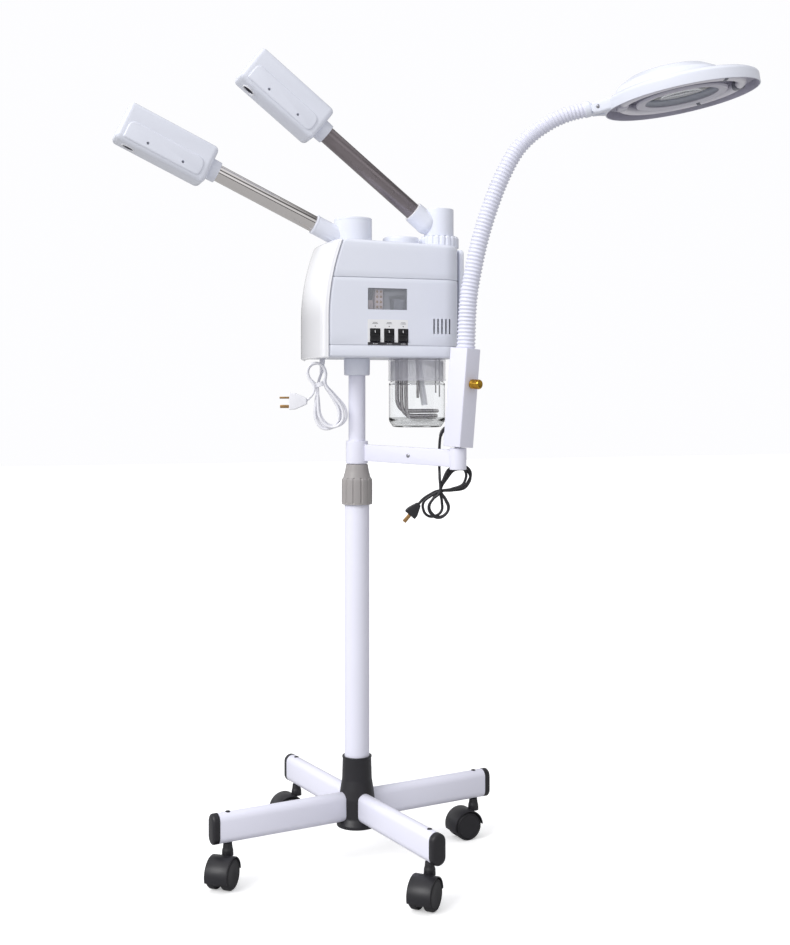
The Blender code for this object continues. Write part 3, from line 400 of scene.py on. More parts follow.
caster_reach = 0.240
stem_spots = []
for number in range(4):
    turn = leg_turn + number * math.pi / 2
    top = pole @ Vector((caster_reach * math.cos(turn), caster_reach * math.sin(turn), leg_middle + 0.025))
    stem_spots.append((top, (0, 0, 1)))
screws("caster_stem_heads", stem_spots, 0.0042, 0.0016, nylon_black, "stand", "black_plastic")


# ---- Casters
# Twin-wheel swivel casters in black nylon: a hood over two plain discs on one axle, offset behind
# a stem that turns in the leg.

wheel_radius, wheel_width, wheel_gap, caster_trail = 0.025, 0.014, 0.012, 0.019
caster_top = leg_middle - 0.025 - 0.0003
swivels = (7, 9, 53, 47)
tread_black = skinned("tread_black", (25, 24, 29), 0.5, drift=0.12, smudge=0.15, grain=0.0012, depth=0.10)


def bow(radius, start, end, steps):
    """Points of an arc about the origin, its angles in degrees."""
    angles = [math.radians(start + (end - start) * k / steps) for k in range(steps + 1)]
    return [(radius * math.cos(a), radius * math.sin(a)) for a in angles]


for number, swivel in enumerate(swivels):
    turn = leg_turn + number * math.pi / 2
    stem = moved(caster_reach * math.cos(turn), caster_reach * math.sin(turn), 0)
    pivot = pole @ stem @ turned(swivel, "Z")
    axle = pivot @ moved(-caster_trail, 0, wheel_radius) @ turned(90, "X")
    half = wheel_width + wheel_gap / 2
    hood = slab(f"hood_shell_{number + 1}",
                bow(wheel_radius + 0.0035, 4, 200, 40) + bow(wheel_radius + 0.0012, 200, 4, 40), -half, half,
                axle, 0.0009, 2)
    web = slab("web", bow(wheel_radius + 0.002, -8, 208, 40) + bow(0.013, 215, 345, 12),
               0.001 - wheel_gap / 2, wheel_gap / 2 - 0.001, axle, 0.0006, 2)
    neck_line = [(0, caster_top, 0), (0.0072, caster_top, 0.0008), (0.0080, caster_top - 0.008, 0.002),
                 (0.0092, caster_top - 0.012, 0.002), (0.0096, caster_top - 0.021, 0),
                 (0, caster_top - 0.021, 0)]
    neck = spin("neck", eased(neck_line, closed=False, steps=3), pivot, steps=40)
    carve(hood, web, neck, operation="UNION")
    fit(hood, nylon_black, f"caster_{number + 1}", "black_plastic", f"caster_hood_{number + 1}", crease=40)
    side = [(0, half - 0.0022, 0), (0.0075, half - 0.0018, 0.001), (0.0205, half - 0.0006, 0.001),
            (0.0212, half - 0.0016, 0.0004), (0.0220, half - 0.0004, 0.0004),
            (wheel_radius - 0.0022, half, 0.0010), (wheel_radius, half - 0.0028, 0.0025),
            (wheel_radius, wheel_gap / 2 + 0.0012, 0.001), (wheel_radius - 0.001, wheel_gap / 2, 0.0006),
            (0.0205, wheel_gap / 2, 0.001), (0.0195, wheel_gap / 2 + 0.003, 0.001),
            (0.0060, wheel_gap / 2 + 0.003, 0.001), (0.0050, wheel_gap / 2, 0.0006),
            (0.0029, wheel_gap / 2, 0)]
    outer = eased(side, closed=False, steps=3)
    wheels = spin(f"wheel_pair_{number + 1}", outer + [(r, -z) for r, z in reversed(outer)], axle, steps=72)
    fit(wheels, tread_black, f"wheels_{number + 1}", "black_plastic",
        f"caster_wheels_{number + 1}", crease=40)


# ---- Lower pole
# A white powder-coated steel tube that stands in the hub. Its mouth is turned in a little over the
# nylon bush that guides the upper pole.

lower_line = eased([
    (0.0151, 0.6600, 0.0005), (0.0215, 0.6600, 0.0012), (0.0215, 0.1250, 0.0005), (0.0199, 0.1250, 0),
    (0.0199, 0.5600, 0), (0.0151, 0.5650, 0),
], steps=3)
fit(spin("pole_lower_tube", lower_line, pole, loop=True), powder_white, "stand", "white_paint", "lower_pole")


# ---- Height collar
# A grey moulded grip that clamps the upper pole when it is turned. Its wide flats are parted by
# narrow grooves, and they taper in to the neck at the top.

collar_grey = skinned("collar_grey", (161, 157, 156), 0.45, drift=0.06, smudge=0.10, grain=0.0008, depth=0.10)


def grooved(name, line, flutes, depth, width, fade, carrier, steps=240):
    """A closed turned line whose outside is pressed in by evenly spaced grooves, where fade allows."""
    shape = bmesh.new()
    rings = []
    for radius, z in line:
        ring = []
        for k in range(steps):
            a = 2 * math.pi * k / steps
            off = abs((a * flutes / (2 * math.pi) + 0.5) % 1 - 0.5) * 2 * math.pi * radius / flutes
            dip = depth * fade(radius, z) * max(0.0, 1 - (off / (width / 2)) ** 2)
            ring.append(shape.verts.new(((radius - dip) * math.cos(a), (radius - dip) * math.sin(a), z)))
        rings.append(ring)
    for low, high in zip(rings, rings[1:] + rings[:1]):
        for k in range(steps):
            shape.faces.new((low[k - 1], low[k], high[k], high[k - 1]))
    return piece(name, shape, carrier)


collar_line = eased([
    (0.0153, 0.6820, 0.0005), (0.0186, 0.6820, 0.0010), (0.0206, 0.6700, 0.004), (0.0236, 0.6590, 0.004),
    (0.0262, 0.6560, 0.0015), (0.0265, 0.6480, 0.001), (0.0265, 0.6300, 0.001), (0.0265, 0.6165, 0.0005),
    (0.0261, 0.6150, 0.0004), (0.0265, 0.6138, 0.0004), (0.0260, 0.6130, 0.0006), (0.0219, 0.6130, 0.0004),
    (0.0219, 0.6615, 0), (0.0153, 0.6615, 0),
], steps=4)
collar = grooved("collar_grip", collar_line, 12, 0.0016, 0.0042,
                 lambda r, z: 1.0 if r > 0.0225 and 0.6155 < z < 0.6590 else 0.0, pole)
fit(collar, collar_grey, "height_collar", "grey_plastic", "height_collar", crease=50)


# ---- Upper pole
# The thinner powder-coated tube that slides in the lower one and carries the head.

upper_line = eased([
    (0.0130, 0.8605, 0.0004), (0.0145, 0.8605, 0.0006), (0.0145, 0.2250, 0.0006), (0.0130, 0.2250, 0.0004),
], steps=3)
fit(spin("pole_upper_tube", upper_line, pole, loop=True), powder_white, "upper_pole",
    "white_paint", "upper_pole")


# ---- Head socket
# The white moulded sleeve under the head that drops over the upper pole.

moulded_white = skinned("moulded_white", (233, 236, 247), 0.26, drift=0.025, smudge=0.05,
                        grain=0.004, depth=0.012)
socket_line = eased([
    (0.0, 0.8636, 0), (0.0225, 0.8636, 0.0004), (0.0221, 0.8362, 0.0012), (0.0208, 0.8350, 0.0006),
    (0.0148, 0.8350, 0.0005), (0.0148, 0.8608, 0), (0.0, 0.8608, 0),
], closed=False)
fit(spin("head_sleeve", socket_line, pole), moulded_white, "head", "white_plastic", "pole_socket")


# ---- Head tray
# The shallow moulded base of the head. It closes the body from below and has a round opening for
# the jar's neck.

head_front, head_rear, head_half = -0.072, 0.168, 0.075


def front_lean(height):
    """How far the head's front has leaned back at this height."""
    return 0.025 * (max(0.0, height - 0.93) / 0.133) ** 2


def head_outline(front, inset=0.0, front_corner=0.006, rear_corner=0.035):
    """The head seen from above: small corners in front, large ones at the rear."""
    low, high, half = front + inset, head_rear - inset, head_half - inset
    line = []
    rear, near = high - rear_corner + inset, low + front_corner
    turns = ((rear, 1, rear_corner - inset, 0), (near, 1, front_corner, 90), (near, -1, front_corner, 180),
             (rear, -1, rear_corner - inset, 270))
    for x, y, radius, start in turns:
        for k in range(13):
            a = math.radians(start + 90 * k / 12)
            line.append((x + radius * math.cos(a), y * (half - radius) + radius * math.sin(a)))
    return line


def walls(name, rows, roof, floor):
    """A shell through rows of (height, inset, drop to the rear), closed where it says."""
    shape = bmesh.new()
    loops = []
    for height, inset, drop in rows:
        line = head_outline(head_front + front_lean(height), inset)
        loops.append([shape.verts.new((x, y, height - drop * (x - head_front) / (head_rear - head_front)))
                      for x, y in line])
    for low, high in zip(loops, loops[1:]):
        for i in range(len(low)):
            shape.faces.new((low[i - 1], low[i], high[i], high[i - 1]))
    if roof:
        shape.faces.new(loops[-1])
    if floor:
        shape.faces.new(loops[0])
    made = piece(name, shape, pole)
    wall = made.modifiers.new("wall", "SOLIDIFY")
    wall.thickness, wall.offset = 0.0028, -1.0
    return settle(made)


def arch(low, high, radius, up):
    """Rows that round a shell's edge over at its top or its foot."""
    turns = [math.pi / 2 * k / 5 for k in range(6)]
    if up:
        return [(high - radius + radius * math.sin(a), radius * (1 - math.cos(a)), 0.0) for a in turns]
    return [(low + radius - radius * math.sin(a), radius * (1 - math.cos(a)), 0.0) for a in reversed(turns)]


tray_rows = arch(0.8640, 0, 0.0040, False)
tray_rows += [(0.8832, 0.0, 0.0), (0.8838, 0.0003, 0.0), (0.8840, 0.0009, 0.0)]
tray = walls("head_tray", tray_rows, False, True)
jar_axis = pole @ moved(0.110, 0, 0)
bore = spin("bore", [(0, 0.850), (0.0445, 0.850), (0.0445, 0.872), (0, 0.872)], jar_axis, steps=72)
fit(carve(tray, bore), moulded_white, "head", "white_plastic", "base_tray")


# ---- Head body
# The moulded middle of the head, with a moulded window opening, three rocker holes under it and a
# row of cooling slots at the rear.

body_rows = [(0.8843, 0.0009, 0.0), (0.8846, 0.0003, 0.0), (0.8852, 0.0, 0.0), (0.905, 0.0, 0.0),
             (0.930, 0.0, 0.0)]
body_rows += [(0.94 + 0.01 * k, 0.0, 0.0) for k in range(6)]
body_rows += [(0.9966, 0.0, 0.0), (0.9971, 0.0003, 0.0), (0.9974, 0.0009, 0.0)]
body_wall = walls("head_body", body_rows, False, False)
near_side = pole @ moved(0, -head_half, 0) @ turned(90, "X")  # Z points out of it
window = eased([(-0.0040, 0.9443, 0.0012), (0.0657, 0.9443, 0.0012), (0.0657, 0.9802, 0.0012),
                (-0.0040, 0.9802, 0.0012)])
window_hole = slab("window_hole", window, -0.010, 0.010, near_side)
rocker_x = [0.0087 + 0.0248 * k for k in range(3)]
rocker_z, rocker_width, rocker_height = 0.9007, 0.0168, 0.0225


def panel(x, z, width, height, corner):
    """A rounded rectangle about a point."""
    w, h = width / 2, height / 2
    return eased([(x - w, z - h, corner), (x + w, z - h, corner), (x + w, z + h, corner),
                  (x - w, z + h, corner)])


rocker_holes = [slab(f"rocker_hole_{k}",
                     panel(x, rocker_z, rocker_width + 0.001, rocker_height + 0.001, 0.001), -0.010, 0.010,
                     near_side) for k, x in enumerate(rocker_x)]


def slot_row_tree():
    """A row of round-ended slot cutters, from a source slot repeated along X."""
    tree = node_tree("slot_row", (("Count", "Int", 5), ("Pitch", "Float", 0.007)))
    given = node(tree, "NodeGroupInput").outputs
    step = node(tree, "ShaderNodeCombineXYZ", X=given["Pitch"]).outputs[0]
    row = node(tree, "GeometryNodeMeshLine", Count=given["Count"], Offset=step).outputs[0]
    many = node(tree, "GeometryNodeInstanceOnPoints", Points=row, Instance=given["Geometry"]).outputs[0]
    real = node(tree, "GeometryNodeRealizeInstances", Geometry=many).outputs[0]
    dressed = node(tree, "GeometryNodeSetMaterial", Geometry=real, Material=given["Finish"]).outputs[0]
    node(tree, "NodeGroupOutput", Geometry=dressed)
    return tree


vent = slab("vent", panel(0, 0, 0.003, 0.026, 0.0014), -0.012, 0.012, Matrix.Identity(4))
vents = grow("vents", vent.data, slot_row_tree(), moulded_white, Count=5, Pitch=0.0072)
vents.data.transform(near_side @ moved(0.1143, 0.9178, 0))
bpy.data.objects.remove(vent, do_unlink=True)
carve(body_wall, window_hole, *rocker_holes, vents)
fit(body_wall, moulded_white, "head", "white_plastic", "body_shell")


# ---- Head top
# The moulded upper shell. It meets the body at a parting line and falls a little to the rear, with
# openings for the two arms and the filler.

drop = 0.006
top_rows = [(0.9979, 0.0009, 0.0), (0.9982, 0.0003, 0.0), (0.9988, 0.0, 0.0), (1.0100, 0.0, 0.001),
            (1.0220, 0.0, 0.002), (1.0340, 0.0, 0.0035), (1.0460, 0.0, 0.005)]
top_rows += [(z, inset, drop) for z, inset, _ in arch(0, 1.0630, 0.0075, True)]
top_shell = walls("head_top", top_rows, True, False)
for x, radius in ((-0.007, 0.012), (0.080, 0.024), (0.151, 0.009)):
    hole = [(0, 1.04), (radius, 1.04), (radius, 1.08), (0, 1.08)]
    carve(top_shell, spin("hole", hole, pole @ moved(x, 0, 0), steps=48))
fit(top_shell, moulded_white, "head", "white_plastic", "top_shell", crease=45)


# ---- Front cover
# A glossy white moulding that closes the head's front. It bows out a little across its face and
# leans back to the top, with a bead down each side where it meets the body.

gloss_white = skinned("gloss_white", (246, 246, 250), 0.12, drift=0.01, smudge=0.04, grain=0.006,
                      depth=0.008, coat=0.6)


def cover_line(height, inset=0.0):
    """The cover's own line at a height, from one rear edge round the face to the other."""
    back = head_front + front_lean(height) - 0.0003
    face = back - 0.0092 + inset
    half = head_half + 0.0008 - inset
    line = [(back, half), (back - 0.0014, half)]
    line += [(back - 0.0022, half - 0.0007), (back - 0.0032, half - 0.0008)]
    line += [(face + 0.0065 - 0.0065 * math.sin(a), half - 0.0070 + 0.0062 * math.cos(a))
             for a in [math.pi / 2 * k / 6 for k in range(1, 7)]]
    spread = [half - 0.0070 - (half - 0.0070) * k / 12 for k in range(1, 13)]
    line += [(face - 0.0042 * (1 - (y / half) ** 2), y) for y in spread]
    return line + [(x, -y) for x, y in reversed(line[:-1])]


shape = bmesh.new()
cover_rows = [(0.8620 + 0.0035 * (1 - math.cos(a)), 0.0035 * (1 - math.sin(a)))
              for a in [math.pi / 2 * k / 5 for k in range(6)]]
cover_rows += [(0.8655 + 0.0125 * k, 0.0) for k in range(1, 16)]
cover_rows += [(1.0561 + 0.0050 * math.sin(a), 0.0050 * (1 - math.cos(a)))
               for a in [math.pi / 2 * k / 5 for k in range(6)]]
rows = [[shape.verts.new((x, y, z)) for x, y in cover_line(z, inset)] for z, inset in cover_rows]
for low, high in zip(rows, rows[1:]):
    for i in range(len(low) - 1):
        shape.faces.new((low[i], low[i + 1], high[i + 1], high[i]))
shape.faces.new(rows[-1])
front_cover = piece("front_moulding", shape, pole)
wall = front_cover.modifiers.new("wall", "SOLIDIFY")
wall.thickness, wall.offset = 0.0022, -1.0
fit(settle(front_cover), gloss_white, "head", "bright_plastic", "front_cover", crease=50)


# ---- Rear cover
# A moulded plate over the head's rear opening, screwed on at its four corners.

rear_face = pole @ moved(head_rear + 0.0003, 0, 0.9690) @ Euler((0, math.pi / 2, 0)).to_matrix().to_4x4()
rear_plate = slab("rear_plate", panel(0, 0, 0.168, 0.110, 0.010), 0.0, 0.009, rear_face, 0.003, 4)
fit(rear_plate, moulded_white, "head", "white_plastic", "rear_cover")
screw_zinc = skinned("screw_zinc", (165, 165, 172), 0.35, metallic=1.0, grain=0.0006)
corners = [pole @ Vector((head_rear + 0.0093, y, z)) for y in (-0.046, 0.046) for z in (0.894, 1.044)]
screws("rear_plate_screws", [(spot, (1, 0, 0)) for spot in corners], 0.0030, 0.0012, screw_zinc, "head",
       "stainless_steel")


# ---- Window and what shows behind it
# A clear acrylic pane in the body. Behind it sit the terminal block with its brass screws, a bent
# steel bracket and the relay's grey case, on the chassis plate.


def see_through(name, colour, roughness, **settings):
    """A clear finish: its colour and gloss, and the shader's other inputs by name."""
    finish = bpy.data.materials.new(name)
    finish.use_nodes = True
    look = finish.node_tree.nodes["Principled BSDF"].inputs
    look["Base Color"].default_value = (*colour, 1)
    look["Roughness"].default_value = roughness
    for title, value in settings.items():
        look[title.replace("_", " ")].default_value = value
    return finish


pane_clear = see_through("pane_clear", linear((205, 208, 216)), 0.05, Alpha=0.22)
pane = slab("window_glazing", panel(0.03085, 0.96225, 0.0691, 0.0353, 0.001), -0.0024, -0.0004,
            near_side, 0.0003, 1)
fit(pane, pane_clear, "head", "clear_glass", "window_pane")
plate_grey = skinned("plate_grey", (168, 170, 178), 0.45, drift=0.25, smudge=0.12)
block_pink = skinned("block_pink", (226, 208, 210), 0.4, drift=0.06)
relay_grey = skinned("relay_grey", (120, 122, 132), 0.4, drift=0.2)
chassis = slab("chassis_plate", panel(0.031, 0.961, 0.086, 0.050, 0.002), -0.030, -0.0285, near_side)
fit(chassis, plate_grey, "head", "white_plastic")
fit(slab("terminal_block", panel(0.0183, 0.962, 0.0140, 0.0340, 0.001), -0.026, -0.008, near_side, 0.0008, 2),
    block_pink, "head", "bright_plastic")
fit(slab("relay_case", panel(0.0545, 0.953, 0.0190, 0.0200, 0.001), -0.027, -0.009, near_side, 0.0008, 2),
    relay_grey, "head", "grey_plastic")
bent_line = eased([
    (0.028, 0.944, 0.001), (0.040, 0.944, 0.001), (0.037, 0.968, 0.002), (0.070, 0.972, 0.002),
    (0.070, 0.976, 0.001), (0.030, 0.976, 0.003),
])
fit(slab("steel_bracket", bent_line, -0.016, -0.0145, near_side), plate_grey, "head", "stainless_steel")
fit(slab("junction_box", panel(0.0030, 0.953, 0.0110, 0.0150, 0.001), -0.027, -0.011, near_side, 0.0008, 2),
    block_pink, "head", "bright_plastic")
terminals = [near_side @ Vector((x, z, -0.0079)) for z in (0.949, 0.9577, 0.9664, 0.975)
             for x in (0.0150, 0.0216)]
brass_dull = skinned("brass_dull", (176, 140, 96), 0.4, metallic=1.0)
screws("terminal_screws", [(spot, (0, -1, 0)) for spot in terminals], 0.0022, 0.0008, brass_dull,
       "head", "brass")


# ---- Switch panel
# A printed white film round three black rocker switches, with a dark strip along its foot and
# plain marks in place of words. Each rocker tips in a black bezel clipped in the body.

film_white = skinned("film_white", (244, 244, 246), 0.22, drift=0.01, coat=0.4)
ink_dark = skinned("ink_dark", (58, 56, 62), 0.3, drift=0.05)
rocker_black = skinned("rocker_black", (24, 24, 27), 0.2, drift=0.05, smudge=0.08, grain=0.002)
film_line = eased([(-0.0045, 0.8846, 0.001), (0.0668, 0.8846, 0.001), (0.0668, 0.9275, 0.001),
                   (-0.0045, 0.9275, 0.001)])
film = slab("switch_film", film_line, 0.0, 0.0003, near_side)
openings = [slab(f"film_hole_{k}", panel(x, rocker_z, 0.0176, 0.0233, 0.0008), -0.002, 0.002, near_side)
            for k, x in enumerate(rocker_x)]
fit(carve(film, *openings), film_white, "head", "bright_plastic")
band = slab("film_band", [(-0.0043, 0.8848), (0.0666, 0.8848), (0.0666, 0.8893), (-0.0043, 0.8893)], 0.0003,
            0.0005, near_side)
fit(band, ink_dark, "head", "black_plastic")
marks = bmesh.new()
for x in rocker_x:
    for z, width, height in ((0.9163, 0.0016, 0.0016), (0.9206, 0.0100, 0.0006), (0.9226, 0.0080, 0.0006)):
        bmesh.ops.create_cube(marks, matrix=moved(x, z, 0.0004) @ Matrix.Diagonal((width, height, 0.0002, 1)))
fit(piece("film_marks", marks, near_side), ink_dark, "head", "black_plastic")
notes = bmesh.new()
for x in rocker_x:
    for step in (-0.003, 0.0, 0.003):
        spot = moved(x + step, 0.8868, 0.0006)
        bmesh.ops.create_cube(notes, matrix=spot @ Matrix.Diagonal((0.0018, 0.0010, 0.0002, 1)))
fit(piece("band_marks", notes, near_side), film_white, "head", "bright_plastic")
for number, x in enumerate(rocker_x, 1):
    bezel = slab(f"rocker_bezel_{number}", panel(x, rocker_z, 0.0184, 0.0238, 0.001), -0.0015, 0.0007,
                 near_side, 0.0004, 2)
    mouth = slab("mouth", panel(x, rocker_z, 0.01745, 0.0231, 0.0006), -0.010, 0.010, near_side)
    fit(carve(bezel, mouth), rocker_black, "head", "black_plastic")
    tip = pole @ moved(x, 0.006 - head_half, rocker_z) @ turned(-8, "X")
    side = tip @ Euler((math.pi / 2, 0, math.pi / 2)).to_matrix().to_4x4()
    rocker_line = eased([(-0.0078, 0.0106, 0.0012), (-0.0060, 0.0, 0.004), (-0.0078, -0.0106, 0.0012),
                         (-0.0060, -0.0106, 0.0004), (0.0040, -0.0060, 0.001), (0.0040, 0.0060, 0.001),
                         (-0.0060, 0.0106, 0.0004)], steps=4)
    rocker = slab(f"rocker_key_{number}", rocker_line, -rocker_width / 2, rocker_width / 2, side, 0.0004, 2)
    fit(rocker, rocker_black, f"rocker_{number}", "black_plastic", f"rocker_{number}", crease=50)
    tick = bmesh.new()
    bmesh.ops.create_cube(tick, matrix=moved(0, -0.0071, 0.0058)
                          @ Matrix.Diagonal((0.0009, 0.0008, 0.0040, 1)))
    fit(piece(f"rocker_tick_{number}", tick, tip), film_white, f"rocker_{number}", "bright_plastic")


# ---- Steam manifold and heater
# The white manifold under the head closes the jar's mouth. From it hang a bent stainless heating
# tube in flat loops, two level probes, a thin earth rod and the white filling tube.

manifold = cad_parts["steam_manifold"]
manifold.data.materials.clear()
manifold.data.materials.append(moulded_white)
heated_steel = skinned("heated_steel", (168, 165, 166), 0.24, metallic=1.0, drift=0.25, smudge=0.2,
                       grain=0.0009, depth=0.05)


def through(points, count):
    """Evenly many points of a smooth line through the given ones."""
    knots = [Vector(p) for p in points]
    knots = [2 * knots[0] - knots[1]] + knots + [2 * knots[-1] - knots[-2]]
    spans, found = len(points) - 1, []
    for i in range(count):
        t = spans * i / (count - 1)
        k = min(int(t), spans - 1)
        t -= k
        a, b, c, d = knots[k:k + 4]
        found.append(0.5 * (2 * b + (c - a) * t + (2 * a - 5 * b + 4 * c - d) * t**2
                            + (3 * b - a - 3 * c + d) * t**3))
    return found


def traced(name, points):
    """A curve with straight steps through the points."""
    curve = bpy.data.curves.new(name, "CURVE")
    curve.dimensions = "3D"
    line = curve.splines.new("POLY")
    line.points.add(len(points) - 1)
    for point, spot in zip(line.points, points):
        point.co = (*spot, 1)
    return curve


def hose(name, points, radius, sides=6):
    """A round tube as an open curve with closed ends."""
    curve = traced(name, points)
    curve.bevel_depth, curve.bevel_resolution, curve.use_fill_caps = radius, sides, True
    curve.splines[0].use_smooth = True
    return in_scene(name, curve)


def tube_mesh(name, points, radius, carrier, sides=6):
    """The same tube as a plain mesh, its points put in place by the carrier."""
    drawn = hose(name, [carrier @ Vector(spot) for spot in points], radius, sides)
    mesh = shown_mesh(drawn)
    bpy.data.objects.remove(drawn, do_unlink=True)
    return in_scene(name, mesh)


plane_turn = -18.8  # degrees from the head's axes to the plane of the heater, the gooseneck and the cords
hairpins = []
for k in range(3):
    left, deep, fall = -0.0350 + 0.0080 * k, 0.0125 - 0.0012 * k, 0.7735 - 0.0085 * k
    right, front = 0.0235 - 0.0010 * k, -0.0040 - 0.0012 * k
    bend = [(right + deep * math.sin(a), front + deep - deep * math.cos(a), fall)
            for a in [math.pi * n / 6 for n in range(7)]]
    lift = [(left, 0.8635), (left, 0.8300), (left, 0.8000), (left + 0.0015, fall + 0.0130),
            (left + 0.0080, fall + 0.0030), (left + 0.0180, fall)]
    hairpins.append([(x, front, z) for x, z in lift] + bend
                    + [(x, front + 2 * deep, z) for x, z in reversed(lift)])
heater_place = jar_axis @ turned(plane_turn, "Z")
for number, hairpin in enumerate(hairpins, 1):
    made = tube_mesh(f"heating_tube_{number}", through(hairpin, 120), 0.0034, heater_place, 5)
    fit(made, heated_steel, "head", "stainless_steel", *(["heater_coil"] if number == 1 else []))
probes = ((-0.0075, -0.0250, 0.7960), (0.0360, -0.0160, 0.7980), (0.0330, -0.0060, 0.8050))
for number, (x, y, foot) in enumerate(probes, 1):
    radius = 0.0012 if number > 1 else 0.0024
    probe = [(0, 0.8632, 0), (radius, 0.8632, 0), (radius, foot, radius), (0, foot, 0)]
    fit(spin(f"level_probe_{number}", eased(probe, closed=False), jar_axis @ moved(x, y, 0), steps=24),
        heated_steel, "head", "stainless_steel")
filling = [(-0.0060, -0.0220, 0.8632), (-0.0015, -0.0222, 0.8300), (0.0060, -0.0225, 0.7840)]
fit(tube_mesh("filling_tube", through(filling, 12), 0.0056, jar_axis), gloss_white, "head", "bright_plastic",
    "sensor_tube")


# ---- Water jar
# A blown clear glass jar with a heavy rounded heel and a straight neck, hung under the head by its
# screw ring.

glass_clear = see_through("glass_clear", (0.97, 0.98, 0.985), 0.0, IOR=1.45, Transmission_Weight=1.0)
jar_line = eased([
    (0.0, 0.7490, 0), (0.0390, 0.7490, 0.006), (0.0465, 0.7600, 0.008), (0.0465, 0.8190, 0.003),
    (0.0435, 0.8240, 0.003), (0.0435, 0.8600, 0.0005), (0.0460, 0.8600, 0.0010), (0.0460, 0.8250, 0.002),
    (0.0490, 0.8215, 0.003), (0.0490, 0.7560, 0.008), (0.0420, 0.7452, 0.006), (0.0300, 0.7450, 0.001),
    (0.0280, 0.7462, 0.001), (0.0, 0.7462, 0),
], closed=False)
fit(spin("jar_glass", jar_line, jar_axis), glass_clear, "water_jar", "clear_glass", "water_jar", crease=50)


# ---- Jar ring
# The frosted screw ring that holds the jar up, with a bead at its foot and a finger rib at its top.

frosted = skinned("frosted_plastic", (228, 227, 236), 0.32, drift=0.12, smudge=0.2, grain=0.0012, depth=0.0)
frosted.node_tree.nodes["Principled BSDF"].inputs["Alpha"].default_value = 0.30
ring_line = eased([
    (0.0464, 0.8635, 0.0004), (0.0495, 0.8635, 0.0006), (0.0505, 0.8620, 0.0006), (0.0505, 0.8600, 0.0004),
    (0.0500, 0.8590, 0.0004), (0.0500, 0.8300, 0.0004), (0.0505, 0.8290, 0.0004), (0.0505, 0.8262, 0.0008),
    (0.0496, 0.8256, 0.0004), (0.0464, 0.8262, 0.0004),
], steps=3)
fit(spin("jar_screw_ring", ring_line, jar_axis, loop=True), frosted, "jar_ring",
    "frosted_plastic", "jar_ring")


# ---- Filler cap
# A low round cap on the head's top, turned a quarter to lift it out and fill the jar.

filler_axis = pole @ moved(0.080, 0, 1.0612)
filler_line = eased([
    (0.0, 0.0140, 0), (0.0180, 0.0140, 0.001), (0.0195, 0.0128, 0.001), (0.0270, 0.0128, 0.001),
    (0.0282, 0.0140, 0.001), (0.0302, 0.0138, 0.0014), (0.0315, 0.0110, 0.0015), (0.0315, 0.0, 0.0004),
    (0.0236, 0.0, 0), (0.0236, -0.0090, 0.0006), (0.0, -0.0090, 0),
], closed=False)
fit(spin("filler_lid", filler_line, filler_axis), moulded_white, "filler_cap", "white_plastic", "filler_cap")


# ---- Front arm
# A round white turret turns on the head's top. Its side socket takes the chromed tube, which
# carries a nozzle head at its far end.

lengthwise = turned(90, "Y")  # turns a spun piece's Z axis along an arm
front_axis = pole @ moved(-0.007, 0, 0)
front_line = front_axis @ moved(0, 0, 1.0600) @ Euler((0, math.radians(-25.2), math.pi)).to_matrix().to_4x4()
turret_line = eased([
    (0.0, 1.1042, 0), (0.0290, 1.1050, 0.0010), (0.0325, 1.1050, 0.0030), (0.0325, 1.1008, 0.0004),
    (0.0321, 1.1000, 0.0004), (0.0325, 1.0992, 0.0004), (0.0325, 1.0639, 0.0008), (0.0, 1.0639, 0),
], closed=False)
turret = spin("front_turret_body", turret_line, front_axis)
arm_socket_line = eased([
    (0, 0.020, 0), (0.0168, 0.020, 0), (0.0166, 0.0740, 0.001), (0.0172, 0.0750, 0.001),
    (0.0168, 0.0775, 0.0010), (0.0, 0.0775, 0),
], closed=False)
socket = spin("socket", arm_socket_line, front_line @ lengthwise)
carve(turret, socket, operation="UNION")
bore = spin("bore", [(0, 0.0497), (0.0146, 0.0497), (0.0146, 0.10), (0, 0.10)], front_line @ lengthwise)
trim = slab("trim", [(-0.2, -0.1), (0.1, -0.1), (0.1, 0.1), (-0.2, 0.1)], 1.02, 1.0639, front_axis)
fit(carve(turret, bore, trim), moulded_white, "front_arm", "white_plastic", "front_turret", crease=45)
chromed = skinned("chromed_tube", (224, 220, 218), 0.10, metallic=1.0, drift=0.05, smudge=0.08,
                  grain=0.0008, depth=0.01)


def arm_tube(name, radius, start, end, line):
    """A thin round tube along an arm's line."""
    wall_line = eased([(radius - 0.0012, start, 0), (radius, start, 0.0004), (radius, end, 0.0004),
                       (radius - 0.0012, end, 0)], steps=2)
    return spin(name, wall_line, line @ lengthwise, loop=True)


fit(arm_tube("front_arm_tube", 0.01425, 0.050, 0.289, front_line), chromed, "front_arm",
    "chrome", "front_tube")


# ---- Nozzle heads
# Each is a pair of white mouldings split along the arm's upright plane: a rounded box with a raised
# panel on each side, a neck round the tube, and a steam outlet ring under its tip.

nozzle_length, nozzle_height = 0.1595, 0.066
# Painted shade: a dark grey for the hollow of each steam outlet, where shade falls.
outlet_painted_shade = skinned("outlet_painted_shade", (88, 86, 96), 0.6, drift=0.2)


